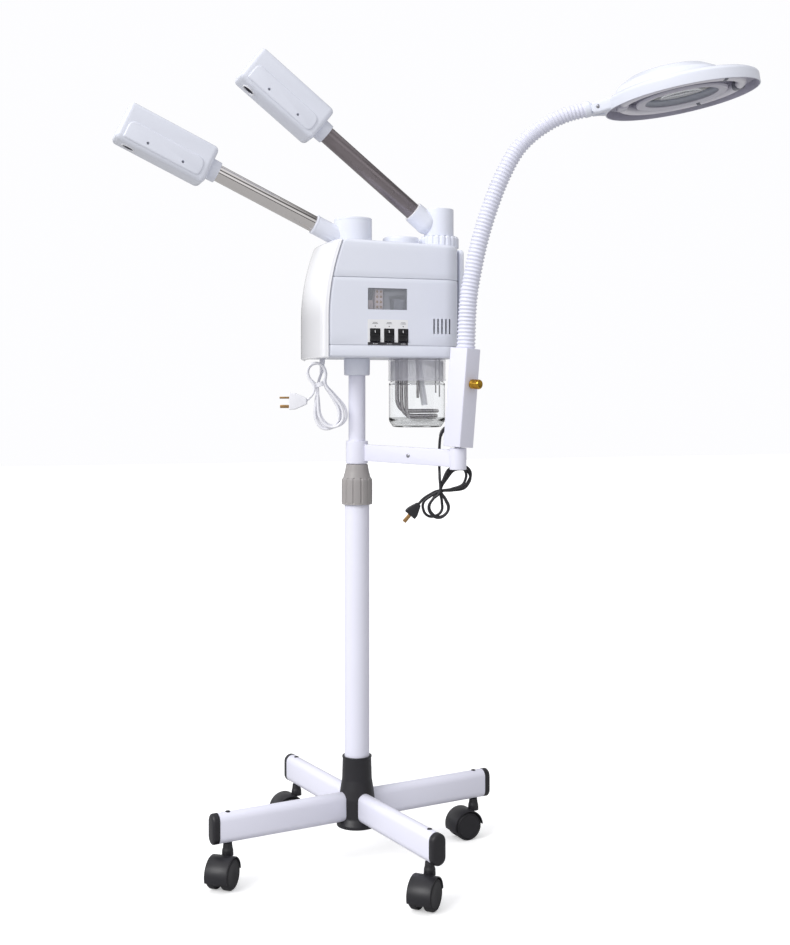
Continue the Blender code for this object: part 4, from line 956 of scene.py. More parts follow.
def nozzle_body(label, start, line, tube_radius, body):
    """Both halves of one nozzle head, its outlet ring and its screws."""
    tip = start + nozzle_length
    for side, hand in ((1, "left"), (-1, "right")):
        box = bmesh.new()
        bmesh.ops.create_cube(box, matrix=moved(start + nozzle_length / 2, 0, 0)
                              @ Matrix.Diagonal((nozzle_length, 0.0615, nozzle_height, 1)))
        half = soften(piece(f"{label}_nozzle_half_{hand}", box, line), 0.0085, 6)
        panel_line = eased([(tip - 0.012, 0.0040, 0.012), (tip - 0.012, -0.0275, 0.004),
                            (start + 0.012, -0.0275, 0.010), (start + 0.012, 0.0040, 0.022)], steps=10)
        flank = line @ turned(-90 * side, "X")
        raised = slab("raised", [(x, -side * z) for x, z in panel_line], 0.026, 0.0330, flank, 0.0028, 4)
        throat = eased([(0, start - 0.016, 0), (0.0180, start - 0.016, 0.0012), (0.0186, start + 0.004, 0),
                        (0, start + 0.004, 0)], closed=False)
        neck = spin("neck", throat, line @ lengthwise, steps=64)
        carve(half, raised, neck, operation="UNION")
        rest = slab("rest", [(start - 0.05, 0), (tip + 0.05, 0), (tip + 0.05, 0.06), (start - 0.05, 0.06)],
                    -0.06, 0.06, line @ moved(0, 0.00015 * side, 0) @ turned(180 if side > 0 else 0, "X"))
        mouth = tube_radius + 0.0003
        bore = spin("bore", [(0, start - 0.03), (mouth, start - 0.03), (mouth, start + 0.02),
                             (0, start + 0.02)],
                    line @ lengthwise, steps=64)
        way = spin("way", [(0, -0.05), (0.0102, -0.05), (0.0090, -0.014), (0, -0.014)],
                   line @ moved(tip - 0.028, 0, 0), steps=48)
        carve(half, rest, bore, way)
        if side > 0:
            for x in (tip - 0.052, start + 0.045):
                carve(half, spin("screw_hole", [(0, 0.0290), (0.0024, 0.0290), (0.0024, 0.04), (0, 0.04)],
                                 flank @ moved(x, 0.0185, 0), steps=24))
        fit(half, moulded_white, body, "white_plastic", f"{label}_nozzle_{hand}", crease=40)
    flank = line @ turned(-90, "X")
    outward = (flank.to_3x3() @ Vector((0, 0, 1))).normalized()
    spots = [(flank @ Vector((x, 0.0185, 0.0291)), outward) for x in (tip - 0.052, start + 0.045)]
    screws(f"{label}_nozzle_screws", spots, 0.0019, 0.0009, screw_zinc, body, "stainless_steel")
    under = line @ moved(tip - 0.028, 0, -nozzle_height / 2) @ turned(180, "X")
    ring = eased([(0.0099, -0.003, 0.0), (0.0122, -0.003, 0.0), (0.0126, 0.0008, 0.0008),
                  (0.0116, 0.0018, 0.0008), (0.0102, 0.0012, 0.0008)], steps=4)
    fit(spin(f"{label}_outlet_ring", ring, under, loop=True, steps=64), gloss_white, body, "bright_plastic")
    # The cup lines the outlet's hollow in dark grey, as painted shade.
    cup = eased([(0, -0.0180, 0), (0.0086, -0.0180, 0.001), (0.0099, -0.001, 0)], closed=False)
    cup += [Vector((r - 0.0004, z + 0.0004)) if r > 0.001 else Vector((0, z + 0.0004))
            for r, z in reversed(cup)]
    fit(spin(f"{label}_outlet_cup", cup, under, steps=48), outlet_painted_shade, body, "grey_plastic")


nozzle_body("front", 0.277, front_line, 0.01425, "front_nozzle")


# ---- Rear arm
# A taller turret with a ball elbow on its side, held down by a fluted white lock nut. Its tube is a
# dark taupe grey metal with a brushed look.

nut_axis = pole @ moved(0.151, 0, 0)
nut_line = eased([
    (0.0265, 1.0792, 0.0004), (0.0322, 1.0792, 0.0010), (0.0338, 1.0780, 0.0010), (0.0350, 1.0755, 0.001),
    (0.0350, 1.0640, 0.001), (0.0350, 1.0592, 0.0010), (0.0200, 1.0592, 0), (0.0200, 1.0700, 0),
    (0.0265, 1.0700, 0),
], steps=4)
nut = grooved("lock_nut", nut_line, 20, 0.0020, 0.0050,
              lambda r, z: 1.0 if r > 0.0318 and z < 1.0790 else 0.0, nut_axis, 320)
fit(nut, moulded_white, "rear_lock_nut", "white_plastic", "rear_lock_nut", crease=50)
rear_line = pole @ moved(0.126, 0, 1.1036) @ Euler((0, math.radians(-38.5), math.pi)).to_matrix().to_4x4()
rear_turret_line = eased([
    (0.0, 1.1272, 0), (0.0225, 1.1280, 0.001), (0.0260, 1.1280, 0.0030), (0.0260, 1.0703, 0.0005),
    (0.0196, 1.0703, 0), (0.0196, 1.0600, 0), (0.0, 1.0600, 0),
], closed=False)
rear_turret = spin("rear_turret_body", rear_turret_line, nut_axis)
elbow = bmesh.new()
bmesh.ops.create_uvsphere(elbow, u_segments=64, v_segments=40, radius=0.0200)
sleeve = spin("sleeve", eased([(0, 0, 0), (0.0196, 0.0, 0), (0.0192, 0.0285, 0.0006),
                               (0.0186, 0.0300, 0.0006), (0, 0.0300, 0)], closed=False),
              rear_line @ lengthwise)
carve(rear_turret, piece("elbow", elbow, rear_line), sleeve, operation="UNION")
bore = spin("bore", [(0, 0.0057), (0.0153, 0.0057), (0.0153, 0.06), (0, 0.06)], rear_line @ lengthwise)
fit(carve(rear_turret, bore), moulded_white, "rear_arm", "white_plastic", "rear_turret", crease=45)
lip = eased([(0.0153, 0.0290, 0.0003), (0.0153, 0.0312, 0.0006), (0.0190, 0.0312, 0.0008),
             (0.0190, 0.0296, 0.0003)], steps=3)
fit(spin("rear_socket_lip", lip, rear_line @ lengthwise, loop=True), gloss_white, "rear_arm",
    "bright_plastic")
# The rear tube's finish: a dark taupe grey, mostly metallic, with a brushed look.
dark_taupe = skinned("dark_taupe_metal", (138, 130, 133), 0.30, metallic=0.75, drift=0.30, smudge=0.30,
                grain=0.0011, depth=0.12)
fit(arm_tube("rear_arm_tube", 0.0150, 0.006, 0.2585, rear_line), dark_taupe, "rear_arm", "dark_tube", "rear_tube")
nozzle_body("rear", 0.2465, rear_line, 0.0150, "rear_nozzle")


# ---- Lamp bracket
# A welded bracket in the stand's white powder coat: a split sleeve on the upper pole, a flat bar
# and a round post for the lamp, with a clamping screw through the bar.

bracket_turn, post_reach, post_height = -48.8, 0.196, 0.7132
bracket = pole @ turned(bracket_turn, "Z")
sleeve_line = eased([
    (0.0148, 0.7220, 0.0004), (0.0190, 0.7220, 0.0014), (0.0190, 0.6830, 0.0014), (0.0148, 0.6830, 0.0004),
], steps=4)
sleeve = spin("bracket_body", sleeve_line, bracket, loop=True)
bar_way = bracket @ moved(0, 0, 0.7026) @ Matrix.Rotation(math.atan2(0.007, post_reach), 4, "Y")
bar_way = bar_way @ turned(90, "X")
bar = slab("bar", panel(0.1005, 0, 0.168, 0.0285, 0.0015), -0.005, 0.005, bar_way, 0.0015, 3)
post_line = eased([(0, post_height, 0), (0.0140, post_height, 0.0012), (0.0140, 0.6775, 0.0012),
                   (0, 0.6775, 0)], closed=False)
post_top = bracket @ moved(post_reach, 0, 0)
carve(sleeve, bar, spin("post", post_line, post_top, steps=72), operation="UNION")
carve(sleeve, spin("pin_hole", [(0, 0.690), (0.0063, 0.690), (0.0063, 0.72), (0, 0.72)], post_top, steps=40))
fit(sleeve, powder_white, "lamp_bracket", "white_paint", "lamp_bracket", crease=40)
toward = (bracket.to_3x3() @ Vector((0, -1, 0))).normalized()
screws("bracket_screw", [(bracket @ Vector((0.104, -0.0051, 0.6988)), toward)], 0.0034, 0.0013, screw_zinc,
       "lamp_bracket", "stainless_steel")


# ---- Lamp box
# A white powder-coated steel box that stands on the post with a pin. It holds the ballast, and it
# has a folded seam down its back and a brass rotary switch on its side.

post = bracket @ moved(post_reach, 0, post_height)
post = post @ turned(plane_turn - bracket_turn, "Z")
lean = post @ turned(4.3, "Y")
box_turned = lean @ turned(-42, "Z")
box_line = eased([(x, y, 0.0022)
                  for x, y in ((-0.018, -0.018), (0.018, -0.018), (0.018, 0.018), (-0.018, 0.018))], steps=4)
ballast_box = slab("ballast_box", box_line, 0.0020, 0.1650, box_turned, 0.0010, 3)
carve(ballast_box, spin("pin", [(0, -0.0195), (0.0058, -0.0195), (0.0058, 0.010), (0, 0.010)], post,
                        steps=32), operation="UNION")
fit(ballast_box, powder_white, "lamp_box", "white_paint", "lamp_box", crease=40)
seam = slab("box_seam", [(-0.0004, 0.006), (0.0004, 0.006), (0.0004, 0.160), (-0.0004, 0.160)],
            0.0178, 0.0182, box_turned @ turned(90, "X") @ turned(180, "Y"))
fit(seam, plate_grey, "lamp_box", "white_paint")


# ---- Switch knob
# A small turned brass knob with straight knurling on the lamp box's side.

knob_brass = skinned("knob_brass", (206, 160, 62), 0.22, metallic=1.0, drift=0.12, smudge=0.15,
                     grain=0.0008, depth=0.04)


def ring_of_ribs_tree():
    """Narrow ribs stood evenly round a circle, each facing out."""
    tree = node_tree("ring_of_ribs", (("Count", "Int", 24), ("Radius", "Float", 0.008),
                                      ("Rib Width", "Float", 0.001), ("Rib Depth", "Float", 0.001),
                                      ("Rib Length", "Float", 0.01)))
    given = node(tree, "NodeGroupInput").outputs
    circle = node(tree, "GeometryNodeMeshCircle", Vertices=given["Count"], Radius=given["Radius"]).outputs[0]
    out = node(tree, "GeometryNodeInputPosition").outputs[0]
    turn = node(tree, "FunctionNodeAlignRotationToVector", [("axis", "X")], Vector=out).outputs[0]
    size = node(tree, "ShaderNodeCombineXYZ", X=given["Rib Depth"], Y=given["Rib Width"],
                Z=given["Rib Length"]).outputs[0]
    rib = node(tree, "GeometryNodeMeshCube", Size=size).outputs[0]
    many = node(tree, "GeometryNodeInstanceOnPoints", Points=circle, Instance=rib, Rotation=turn).outputs[0]
    real = node(tree, "GeometryNodeRealizeInstances", Geometry=many).outputs[0]
    dressed = node(tree, "GeometryNodeSetMaterial", Geometry=real, Material=given["Finish"]).outputs[0]
    node(tree, "NodeGroupOutput", Geometry=dressed)
    return tree


knob_axis = box_turned @ moved(0.0165, 0, 0.107) @ lengthwise
knob_line = eased([
    (0.0, 0.0200, 0), (0.0058, 0.0205, 0.0006), (0.0072, 0.0195, 0.0008), (0.0076, 0.0180, 0.0003),
    (0.0076, 0.0080, 0.0003), (0.0066, 0.0072, 0.0004), (0.0066, 0.0060, 0.0004), (0.0078, 0.0052, 0.0004),
    (0.0078, 0.0026, 0.0006), (0.0062, 0.0020, 0.0004), (0.0, 0.0020, 0),
], closed=False, steps=3)
fit(spin("switch_knob", knob_line, knob_axis, steps=64), knob_brass, "lamp_switch_knob", "brass",
    "lamp_switch_knob")
knurl = grow("switch_knurl", bpy.data.meshes.new("knurl"), ring_of_ribs_tree(), knob_brass,
             Count=30, Radius=0.0075, Rib_Width=0.0009, Rib_Depth=0.0009, Rib_Length=0.0096)
knurl.data.transform(knob_axis @ moved(0, 0, 0.0130))
fit(knurl, knob_brass, "lamp_switch_knob", "brass")


# ---- Gooseneck
# A flexible steel conduit in a white corrugated sleeve. It rises from the box, bends over to the
# lamp head, and thins a little on the way.

neck_route = (
    (0.0128, 0.1600), (0.0165, 0.2405), (0.0258, 0.2975), (0.0377, 0.3497), (0.0542, 0.4018),
    (0.0732, 0.4492), (0.0970, 0.4920), (0.1277, 0.5227), (0.1704, 0.5475), (0.2161, 0.5600),
)
neck_line = through([(x, 0, z) for x, z in neck_route], 28)


def ribbed_sleeve_tree():
    """A corrugated tube along a curve: it swells at every pitch and tapers from one radius to another."""
    tree = node_tree("ribbed_sleeve", (("Pitch", "Float", 0.0063), ("Rib Depth", "Float", 0.001),
                                       ("Foot Radius", "Float", 0.015), ("Tip Radius", "Float", 0.012),
                                       ("Phase", "Float", 0.0)))
    given = node(tree, "NodeGroupInput").outputs
    step = node(tree, "ShaderNodeMath", [("operation", "DIVIDE")], i0=given["Pitch"], i1=10.0).outputs[0]
    fine = node(tree, "GeometryNodeResampleCurve", [("mode", "LENGTH")], Curve=given["Geometry"],
                Length=step).outputs[0]
    along = node(tree, "GeometryNodeSplineParameter").outputs
    shifted = node(tree, "ShaderNodeMath", [("operation", "ADD")], i0=along["Length"],
                   i1=given["Phase"]).outputs[0]
    turns = node(tree, "ShaderNodeMath", [("operation", "DIVIDE")], i0=shifted, i1=given["Pitch"]).outputs[0]
    angle = node(tree, "ShaderNodeMath", [("operation", "MULTIPLY")], i0=turns, i1=2 * math.pi).outputs[0]
    wave = node(tree, "ShaderNodeMath", [("operation", "SINE")], i0=angle).outputs[0]
    swell = node(tree, "ShaderNodeMath", [("operation", "MULTIPLY")], i0=wave,
                 i1=given["Rib Depth"]).outputs[0]
    taper = node(tree, "ShaderNodeMapRange", Value=along["Factor"], To_Min=given["Foot Radius"],
                 To_Max=given["Tip Radius"]).outputs[0]
    radius = node(tree, "ShaderNodeMath", [("operation", "ADD")], i0=taper, i1=swell).outputs[0]
    ring = node(tree, "GeometryNodeCurvePrimitiveCircle", Resolution=40, Radius=1.0).outputs[0]
    skinned_tube = node(tree, "GeometryNodeCurveToMesh", Curve=fine, Profile_Curve=ring, Scale=radius,
                        Fill_Caps=True).outputs[0]
    real = node(tree, "GeometryNodeRealizeInstances", Geometry=skinned_tube).outputs[0]
    smooth = node(tree, "GeometryNodeSetShadeSmooth", Geometry=real).outputs[0]
    dressed = node(tree, "GeometryNodeSetMaterial", Geometry=smooth, Material=given["Finish"]).outputs[0]
    node(tree, "NodeGroupOutput", Geometry=dressed)
    return tree


neck_white = skinned("neck_white", (232, 233, 247), 0.34, drift=0.03, grain=0.002)
ribbed = ribbed_sleeve_tree()
neck_length = sum((b - a).length for a, b in zip(neck_line, neck_line[1:]))
run = 0.0
for name, first, last, bodies, bend, nodes in (
    ("neck_lower_run", 0, 14, ("lamp_box", "gooseneck_middle"), (7, 11),
     ("gooseneck_lower", "gooseneck_middle")),
    ("neck_upper_run", 14, 27, ("gooseneck_middle", "gooseneck_upper"), (17, 21), ("gooseneck_upper",)),
):
    path = traced(name, [post @ spot for spot in neck_line[first:last + 1]])
    own = sum((b - a).length for a, b in zip(neck_line[first:last], neck_line[first + 1:last + 1]))
    radii = [0.0148 - 0.0030 * s / neck_length for s in (run, run + own)]
    sleeve = grow(name, path, ribbed, neck_white, Pitch=0.0063, Rib_Depth=0.0011, Foot_Radius=radii[0],
                  Tip_Radius=radii[1], Phase=run + 0.0008)
    run += own
    sleeve.data.materials.clear()
    sleeve.data.materials.append(neck_white)
    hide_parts(*nodes)
    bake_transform(sleeve)


# ---- Lamp joint
# A white moulded ferrule closes the gooseneck's end and carries the flat lug that the lamp head
# tilts on.

tilt, tilt_reach, tilt_rise = 10, -0.141, 0.011
lamp = post @ moved(0.3703, 0, 1.288 - post_height) @ turned(-tilt, "Y")
pivot = lamp @ moved(tilt_reach, 0, tilt_rise)
lug_line = [(x - 0.024, z) for x, z in bow(0.0095, 90, 270, 12)] + bow(0.0095, -90, 90, 12)
lug = slab("tilt_lug", lug_line, -0.006, 0.006, pivot @ turned(90, "X"), 0.0010, 3)
fit(lug, moulded_white, "gooseneck_upper", "white_plastic")
end_way = (neck_line[-1] - neck_line[-2]).normalized()
ferrule_turn = end_way.to_track_quat("Z", "Y").to_matrix().to_4x4()
ferrule_place = post @ Matrix.Translation(neck_line[-1]) @ ferrule_turn
ferrule = eased([(0, 0.0030, 0), (0.0110, 0.0030, 0.0015), (0.0132, 0.0005, 0.0015),
                 (0.0134, -0.0080, 0.0010), (0, -0.0080, 0)], closed=False)
fit(spin("neck_ferrule", ferrule, ferrule_place), moulded_white, "gooseneck_upper", "white_plastic")


# ---- Lamp housing
# The moulded ring of the magnifier lamp, open underneath. A fairing grows out of its rim to the
# forked tilt joint, with a screw through the fork.

top = 0.021
housing_line = eased([
    (0.0640, top + 0.0040, 0.0008), (0.0900, top + 0.0040, 0.004), (0.1190, top + 0.0022, 0.010),
    (0.1272, top - 0.0030, 0.006), (0.1271, 0.0, 0.0006), (0.1252, 0.0, 0.0006),
    (0.1248, top - 0.0060, 0.004), (0.1180, top + 0.0002, 0.004), (0.0735, top + 0.0015, 0),
    (0.0735, 0.0060, 0.0004), (0.0640, 0.0050, 0.0006),
], steps=6)
housing = spin("ring_housing", housing_line, lamp, loop=True, steps=160)
fairing_line = eased([(-0.1020, -0.0460, 0), (-0.1235, -0.0300, 0.020), (-0.1400, -0.0165, 0.008),
                      (-0.1535, -0.0140, 0.009), (-0.1535, 0.0140, 0.009), (-0.1400, 0.0165, 0.008),
                      (-0.1235, 0.0300, 0.020), (-0.1020, 0.0460, 0)], steps=8)
fairing = slab("neck_fairing", fairing_line, 0.0006, 0.0205, lamp, 0.0042, 5)
inner = spin("inner", [(0, -0.02), (0.1252, -0.02), (0.1252, 0.05), (0, 0.05)], lamp, steps=160)
ears = [(x + tilt_reach, z + tilt_rise) for x, z in bow(0.0116, 90, 270, 12)]
ears += [(tilt_reach, -0.03), (-0.19, -0.03), (-0.19, 0.05), (tilt_reach, 0.05)]
ear_trim = slab("ear_trim", ears, -0.03, 0.03,
                lamp @ turned(90, "X"))
fork_gap = slab("fork_gap", panel(-0.1425, 0, 0.027, 0.0130, 0.001), -0.03, 0.05, lamp)
fit(carve(fairing, inner, ear_trim, fork_gap), moulded_white, "lamp_head", "white_plastic", crease=40)
fit(housing, moulded_white, "lamp_head", "white_plastic", "lamp_housing", crease=40)
across = (lamp.to_3x3() @ Vector((0, -1, 0))).normalized()
tilt_spots = [(lamp @ Vector((tilt_reach, -0.0158 * way, tilt_rise)), way * across) for way in (1, -1)]
screws("tilt_screw", tilt_spots, 0.0040, 0.0016, screw_zinc, "lamp_head", "stainless_steel")


# ---- Lamp underside
# A grey lining in the ring's hollow is painted shade. The circular fluorescent tube sits in it on wire
# clips, with its cap and a starter, round the lens's lighter bezel, greyed as painted shade too.

# Painted shade: a mottled grey for the shade in the ring's hollow under the lamp.
cavity_painted_shade = skinned("cavity_painted_shade", (190, 188, 202), 0.38, metallic=0.2, drift=0.45, smudge=0.3,
                         grain=0.0015, depth=0.06)
# Painted shade: the white bezel is greyed for the shade under the lamp. The widest clip shares this grey.
pale_grey_and_painted_shade = skinned("pale_grey_and_painted_shade", (202, 200, 212), 0.3, drift=0.12, smudge=0.1)
lining = [(0.0738, 0.0062), (0.0738, top + 0.0008), (0.1176, top - 0.0004), (0.1242, top - 0.0064),
          (0.1250, 0.0004)]
lining += [(r + (0.0003 if i < 1 else -0.0003 if i > 2 else 0), z - 0.0004)
           for i, (r, z) in reversed(list(enumerate(lining)))]
# The lining sheet sits just inside the white housing, its grey painted shade.
cavity_shade_lining = spin("lamp_cavity_shade_lining", lining, lamp, loop=True, steps=128)
fit(cavity_shade_lining, cavity_painted_shade, "lamp_head", "grey_plastic")
# The bezel's grey is painted shade on white plastic.
bezel_line = eased([(0.0600, 0.0060, 0.0004), (0.0600, 0.0035, 0.0008), (0.0740, 0.0022, 0.0012),
                    (0.0760, 0.0062, 0.0008)], steps=4)
fit(spin("lens_bezel", bezel_line, lamp, loop=True, steps=128), pale_grey_and_painted_shade, "lamp_head", "white_plastic")
lamp_white = skinned("lamp_tube_white", (232, 230, 238), 0.3, drift=0.03)
tube_reach, tube_rise, tube_radius = 0.0985, 0.0105, 0.0080
tube_ring = [(tube_reach + tube_radius * math.cos(a), tube_rise + tube_radius * math.sin(a))
             for a in [2 * math.pi * k / 24 for k in range(24)]]
fit(spin("fluorescent_ring", tube_ring, lamp, loop=True, steps=128), lamp_white, "lamp_head",
    "bright_plastic", "ring_tube")
clips = (
    (178, 0.030, 0.019, pale_grey_and_painted_shade), (60, 0.006, 0.0176, relay_grey), (-60, 0.006, 0.0176, relay_grey),
    (5, 0.014, 0.0165, relay_grey),
)
for number, (angle, wide, tall, finish) in enumerate(clips, 1):
    across_tube = lamp @ turned(angle, "Z") @ moved(tube_reach, 0, 0)
    clip_line = panel(0, tube_rise, 0.0185 if wide > 0.01 else 0.0172, tall - 0.0005, 0.006)
    clip = slab(f"tube_clip_{number}", clip_line, -wide / 2, wide / 2,
                across_tube @ turned(90, "X"), 0.0008, 2)
    fit(clip, finish, "lamp_head", "grey_plastic")


# ---- Magnifier lens
# A ground biconvex lens of clear glass, clipped in the ring.

lens_line = [(0.0, 0.0232)] + [(0.0630 * k / 12, 0.0145 + 0.0087 * (1 - (k / 12) ** 2)) for k in range(1, 13)]
lens_line += [(0.0630 * k / 12, 0.0140 - 0.0075 * (1 - (k / 12) ** 2))
              for k in range(12, 0, -1)] + [(0.0, 0.0065)]
lens_glass = see_through("lens_glass", (0.80, 0.82, 0.86), 0.02, IOR=1.5, Transmission_Weight=1.0)
fit(spin("lens", lens_line, lamp, steps=96), lens_glass, "lamp_head", "clear_glass", "magnifier_lens")


# ---- Lens cover
# A domed white lid over the lens, hinged at the neck side and closed when the lamp is not in use.

lid_line = eased([
    (0.0, 0.0335, 0), (0.0350, 0.0330, 0.010), (0.0640, 0.0280, 0.020), (0.0850, 0.0160, 0.012),
    (0.0900, 0.0045, 0.0004), (0.0880, 0.0045, 0.0004), (0.0830, 0.0145, 0.010), (0.0630, 0.0260, 0.020),
    (0.0350, 0.0310, 0.010), (0.0, 0.0315, 0),
], closed=False, steps=8)
cover = spin("lens_lid", lid_line, lamp @ moved(-0.018, 0, top), steps=128)
fit(cover, moulded_white, "lens_cover", "white_plastic", "lens_cover", crease=45)


# ---- Mains cord
# The white mains lead leaves the head's underside through a ribbed sleeve. It is folded in a hank of
# four splayed loops, pinched by a band, and ends in its own moulded plug.

mains = pole @ turned(plane_turn, "Z")
cord_white = skinned("cord_white", (240, 240, 246), 0.42, drift=0.02)
fold = [(-0.0075, 0.0150), (-0.0150, -0.0080), (-0.0219, -0.0320), (-0.0165, -0.0515), (0.0, -0.0592),
        (0.0165, -0.0515), (0.0219, -0.0320), (0.0150, -0.0080), (0.0075, 0.0150), (0.0145, 0.0330),
        (0.0128, 0.0500), (0.0, 0.0590), (-0.0128, 0.0500), (-0.0145, 0.0330)]
hank_turn = math.atan2(0.024, 0.0695)


def kind_bends(points, radius, rounds=220):
    """The same line with its tight places opened out, as a cord's own stiffness does."""
    spots = [Vector(p) for p in points]
    for _ in range(rounds):
        opened = []
        for i in range(3, len(spots) - 3):
            back, ahead = spots[i] - spots[i - 1], spots[i + 1] - spots[i]
            bend = back.angle(ahead)
            most = (back.length + ahead.length) / 2 / radius
            if bend > most:
                between = (spots[i - 1] + spots[i + 1]) / 2
                opened.append((i, spots[i].lerp(between, 0.7 * (bend - most) / bend)))
        for i, spot in opened:
            spots[i] = spot
    return spots


mains_way = [(-0.0600, 0.0040, 0.8636), (-0.0605, 0.0040, 0.8530), (-0.0615, 0.0030, 0.8400),
             (-0.0650, -0.0035, 0.8280)]
for turn, (splay, spread) in enumerate(((-0.08, 1.0), (0.05, 0.92), (0.12, 0.96), (-0.02, 0.93))):
    for step, (u, v) in enumerate(fold):
        u = u * (spread if v < 0.017 else 1.0) + splay * min(v - 0.018, 0)
        mains_way.append((-0.0560 + u * math.cos(hank_turn) - v * math.sin(hank_turn),
                          -0.0090 - 0.0056 * (turn + step / len(fold)),
                          0.80275 + u * math.sin(hank_turn) + v * math.cos(hank_turn)))
mains_way += [(-0.0695, -0.0310, 0.8145), (-0.0760, -0.0285, 0.8010), (-0.0850, -0.0240, 0.7925),
              (-0.0900, -0.0215, 0.7905)]
mains_line = [mains @ p for p in kind_bends(through(mains_way, 400), 0.0165)]


def line_length(points):
    """How long a line of points is."""
    return sum((b - a).length for a, b in zip(points, points[1:]))


def sleeve_on(name, points, reach, wide, thin, finish, body, slot):
    """A ribbed, tapered strain relief round the first stretch of a cord."""
    count = next(i for i in range(2, len(points)) if line_length(points[:i]) > reach)
    relief = grow(name, traced(name, points[:count]), ribbed, finish, Pitch=0.0034, Rib_Depth=0.0003,
                  Foot_Radius=wide, Tip_Radius=thin, Phase=0.0)
    return fit(relief, finish, body, slot, crease=60)


def plug(name, place, size, pins, finish, body, slot):
    """A moulded plug, its pins along -X, with a waisted grip and a flange round its face."""
    length, width, height = size
    half, high = length / 2, height / 2
    side = place @ turned(90, "X")
    grip = eased([
        (-half, -high, 0.002), (-half, high, 0.002), (-half * 0.35, high * 0.94, 0.006),
        (half * 0.4, high * 0.62, 0.006), (half, high * 0.34, 0.002), (half, -high * 0.34, 0.002),
        (half * 0.4, -high * 0.62, 0.006), (-half * 0.35, -high * 0.94, 0.006),
    ])
    made = fit(slab(name, grip, -width / 2, width / 2, side, 0.0030, 4), finish, body, slot, crease=50)
    prongs = bmesh.new()
    for across, up, wide, tall, reach in pins:
        bmesh.ops.create_cube(prongs, matrix=place @ moved(-half - reach / 2 + 0.001, across, up)
                              @ Matrix.Diagonal((reach, wide, tall, 1)))
    pin_set = fit(soften(piece(f"{name}_pins", prongs), 0.0006, 2), brass_dull, body, "brass")
    return made, pin_set


mains_cord = fit(hose("mains_lead", mains_line, 0.0024), cord_white, "head", "white_cord", "mains_cord_hank")
mains_relief = sleeve_on("mains_relief", mains_line, 0.024, 0.0050, 0.0031, cord_white, "head", "white_cord")
mains_head = plug("mains_plug_body", mains @ moved(-0.1000, -0.0200, 0.7905), (0.030, 0.022, 0.030),
                  ((0.008, 0.006, 0.0055, 0.0035, 0.017), (-0.008, 0.006, 0.0055, 0.0035, 0.017),
                   (0.0, -0.009, 0.0035, 0.0055, 0.017)),
                  cord_white, "head", "bright_plastic")
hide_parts("mains_plug")
tie_place = mains @ moved(-0.0619, -0.0200, 0.8197) @ Matrix.Rotation(-hank_turn, 4, "Y")
tie_line = [(0.0098 * math.cos(a), 0.0150 * math.sin(a)) for a in [2 * math.pi * k / 40 for k in range(40)]]
tie = slab("mains_tie", tie_line, -0.0035, 0.0035, tie_place)
tie_hole = slab("tie_hole", [(x * 0.88, y * 0.92) for x, y in tie_line], -0.006, 0.006, tie_place)
fit(carve(tie, tie_hole), cord_white, "head", "white_cord")


# ---- Lamp cord
# The lamp's black lead leaves the foot of its box, drops behind the bracket, and is wound in a loose
# tangle of petals that ends in a small two-pin plug.

cord_black = skinned("cord_black", (34, 33, 38), 0.40, drift=0.06, smudge=0.1)
lamp_way = [(-0.0125, 0.0235, 0.7465), (-0.0205, 0.0300, 0.7450), (-0.0275, 0.0335, 0.7330),
            (-0.0297, 0.0345, 0.7100), (-0.0300, 0.0310, 0.6860), (-0.0295, 0.0245, 0.6640)]
petals = ((-95, 0.046), (42, 0.058), (-115, 0.048), (36, 0.066), (-92, 0.046), (30, 0.062))
petal_line = ((0.02, 0.0), (0.30, 0.0105), (0.66, 0.0170), (1.0, 0.0), (0.66, -0.0170), (0.30, -0.0105))
for turn, (way, reach) in enumerate(petals):
    along, across = math.cos(math.radians(way)), math.sin(math.radians(way))
    hand = 1 if turn % 2 else -1
    for step, (out, wide) in enumerate(petal_line):
        u, v = out * reach, wide * hand
        lamp_way.append((-0.0290 + u * along - v * across, 0.0215 + 0.0042 * (turn + step / 6),
                         0.6400 + u * across + v * along))
lamp_way += [(-0.0310, 0.0452, 0.6395), (-0.0440, 0.0440, 0.6340), (-0.0560, 0.0420, 0.6265),
             (-0.0650, 0.0400, 0.6170)]
lead = post @ moved(0, 0, -post_height)
lamp_line = [lead @ p for p in kind_bends(through(lamp_way, 400), 0.0145)]
lamp_cord = fit(hose("lamp_lead", lamp_line, 0.0023), cord_black, "lamp_box", "black_cord", "lamp_cord",
                "lamp_cord_hank")
lamp_relief = sleeve_on("lamp_relief", lamp_line, 0.024, 0.0042, 0.0027, cord_black, "lamp_box", "black_cord")
plug_place = lead @ moved(-0.0715, 0.0400, 0.6085) @ turned(-50, "Y")
lamp_plug = plug("lamp_plug_body", plug_place, (0.024, 0.016, 0.022),
                 ((0.005, 0, 0.0015, 0.006, 0.016), (-0.005, 0, 0.0015, 0.006, 0.016)), cord_black,
                 "lamp_box", "black_plastic")
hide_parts("lamp_plug")


# ---- Studio
# A pale floor under soft light from the upper left, with an open white surround.

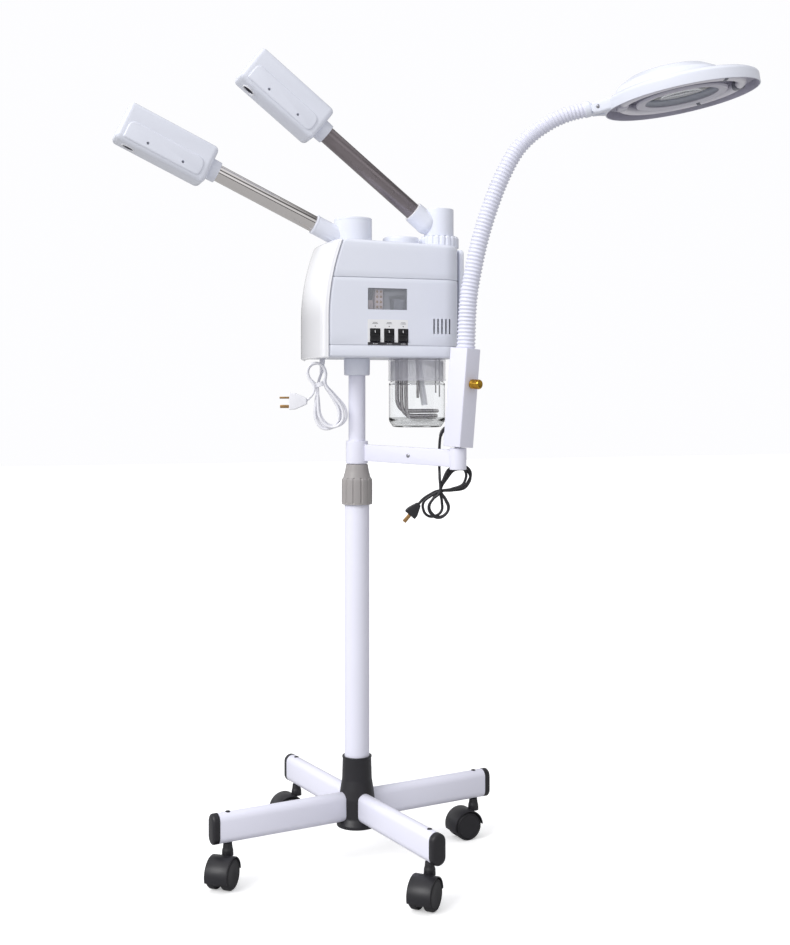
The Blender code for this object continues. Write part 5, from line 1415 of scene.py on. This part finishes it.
floor_shape = bmesh.new()
bmesh.ops.create_grid(floor_shape, x_segments=1, y_segments=1, size=14)
floor = piece("floor", floor_shape)
floor_white = bpy.data.materials.new("floor_white")
floor_white.use_nodes = True
floor_look = floor_white.node_tree.nodes["Principled BSDF"]
floor_look.inputs["Roughness"].default_value = 0.9
floor_look.inputs["Emission Color"].default_value = (1, 1, 1, 1)
straight = node(floor_white.node_tree, "ShaderNodeLightPath").outputs["Is Camera Ray"]
lift = node(floor_white.node_tree, "ShaderNodeMath", [("operation", "MULTIPLY")], i0=straight,
            i1=0.34).outputs[0]
floor_white.node_tree.links.new(lift, floor_look.inputs["Emission Strength"])
patches = node(floor_white.node_tree, "ShaderNodeTexNoise", i2=1.5).outputs[0]
pale = node(floor_white.node_tree, "ShaderNodeMapRange", Value=patches, To_Min=0.93, To_Max=0.95).outputs[0]
calm = node(floor_white.node_tree, "ShaderNodeMix", [("data_type", "FLOAT")], i0=straight, i2=0.50,
            i3=pale).outputs[0]
floor_white.node_tree.links.new(calm, floor_look.inputs["Base Color"])
floor.data.materials.append(floor_white)
floor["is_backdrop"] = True

world = bpy.data.worlds.new("surround")
bpy.context.scene.world = world
world.use_nodes = True
sky = world.node_tree
backdrop = sky.nodes["Background"]
ways = node(sky, "ShaderNodeTexCoord").outputs["Generated"]
to_left = node(sky, "ShaderNodeVectorMath", [("operation", "DOT_PRODUCT")], i0=ways,
               i1=(-0.93, -0.20, 0.30)).outputs["Value"]
bright = node(sky, "ShaderNodeMapRange", Value=to_left, From_Min=-1.0, From_Max=1.0, To_Min=0.37,
              To_Max=1.06).outputs[0]
rays = node(sky, "ShaderNodeLightPath").outputs
seen = node(sky, "ShaderNodeMath", [("operation", "MAXIMUM")], i0=rays["Is Camera Ray"],
            i1=rays["Is Transmission Ray"]).outputs[0]
height = node(sky, "ShaderNodeSeparateXYZ", Vector=ways).outputs["Z"]
dark_card = node(sky, "ShaderNodeMath", [("operation", "PINGPONG")], i0=height, i1=0.30).outputs[0]
card_edge = node(sky, "ShaderNodeMapRange", [("interpolation_type", "SMOOTHSTEP")], Value=dark_card,
                 From_Min=0.05, From_Max=0.17, To_Min=0.18, To_Max=1.25).outputs[0]
mirrored = node(sky, "ShaderNodeMix", [("data_type", "FLOAT")], i0=rays["Is Glossy Ray"], i2=1.0,
                i3=card_edge).outputs[0]
bright = node(sky, "ShaderNodeMath", [("operation", "MULTIPLY")], i0=bright, i1=mirrored).outputs[0]
shown = node(sky, "ShaderNodeMix", [("data_type", "FLOAT")], i0=seen, i2=bright, i3=1.0).outputs[0]
sky.links.new(shown, backdrop.inputs["Strength"])
backdrop.inputs["Color"].default_value = (0.985, 0.985, 1.0, 1)
sun = in_scene("key", bpy.data.lights.new("key", "SUN"))
sun.data.energy, sun.data.angle = 1.50, math.radians(28)
sun.rotation_euler = Vector((-0.80, -0.40, 0.62)).to_track_quat("Z", "Y").to_euler()
camera = in_scene("camera", bpy.data.cameras.new("camera"))
camera.location = pole @ Vector((-0.668, -2.166, 0.793))
camera.rotation_euler = Euler((math.pi / 2, 0, math.radians(plane_turn)))
camera.data.lens, camera.data.shift_y = 50, -0.077
bpy.context.scene.camera = camera
bpy.context.scene.view_settings.view_transform = "Standard"

low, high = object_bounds()
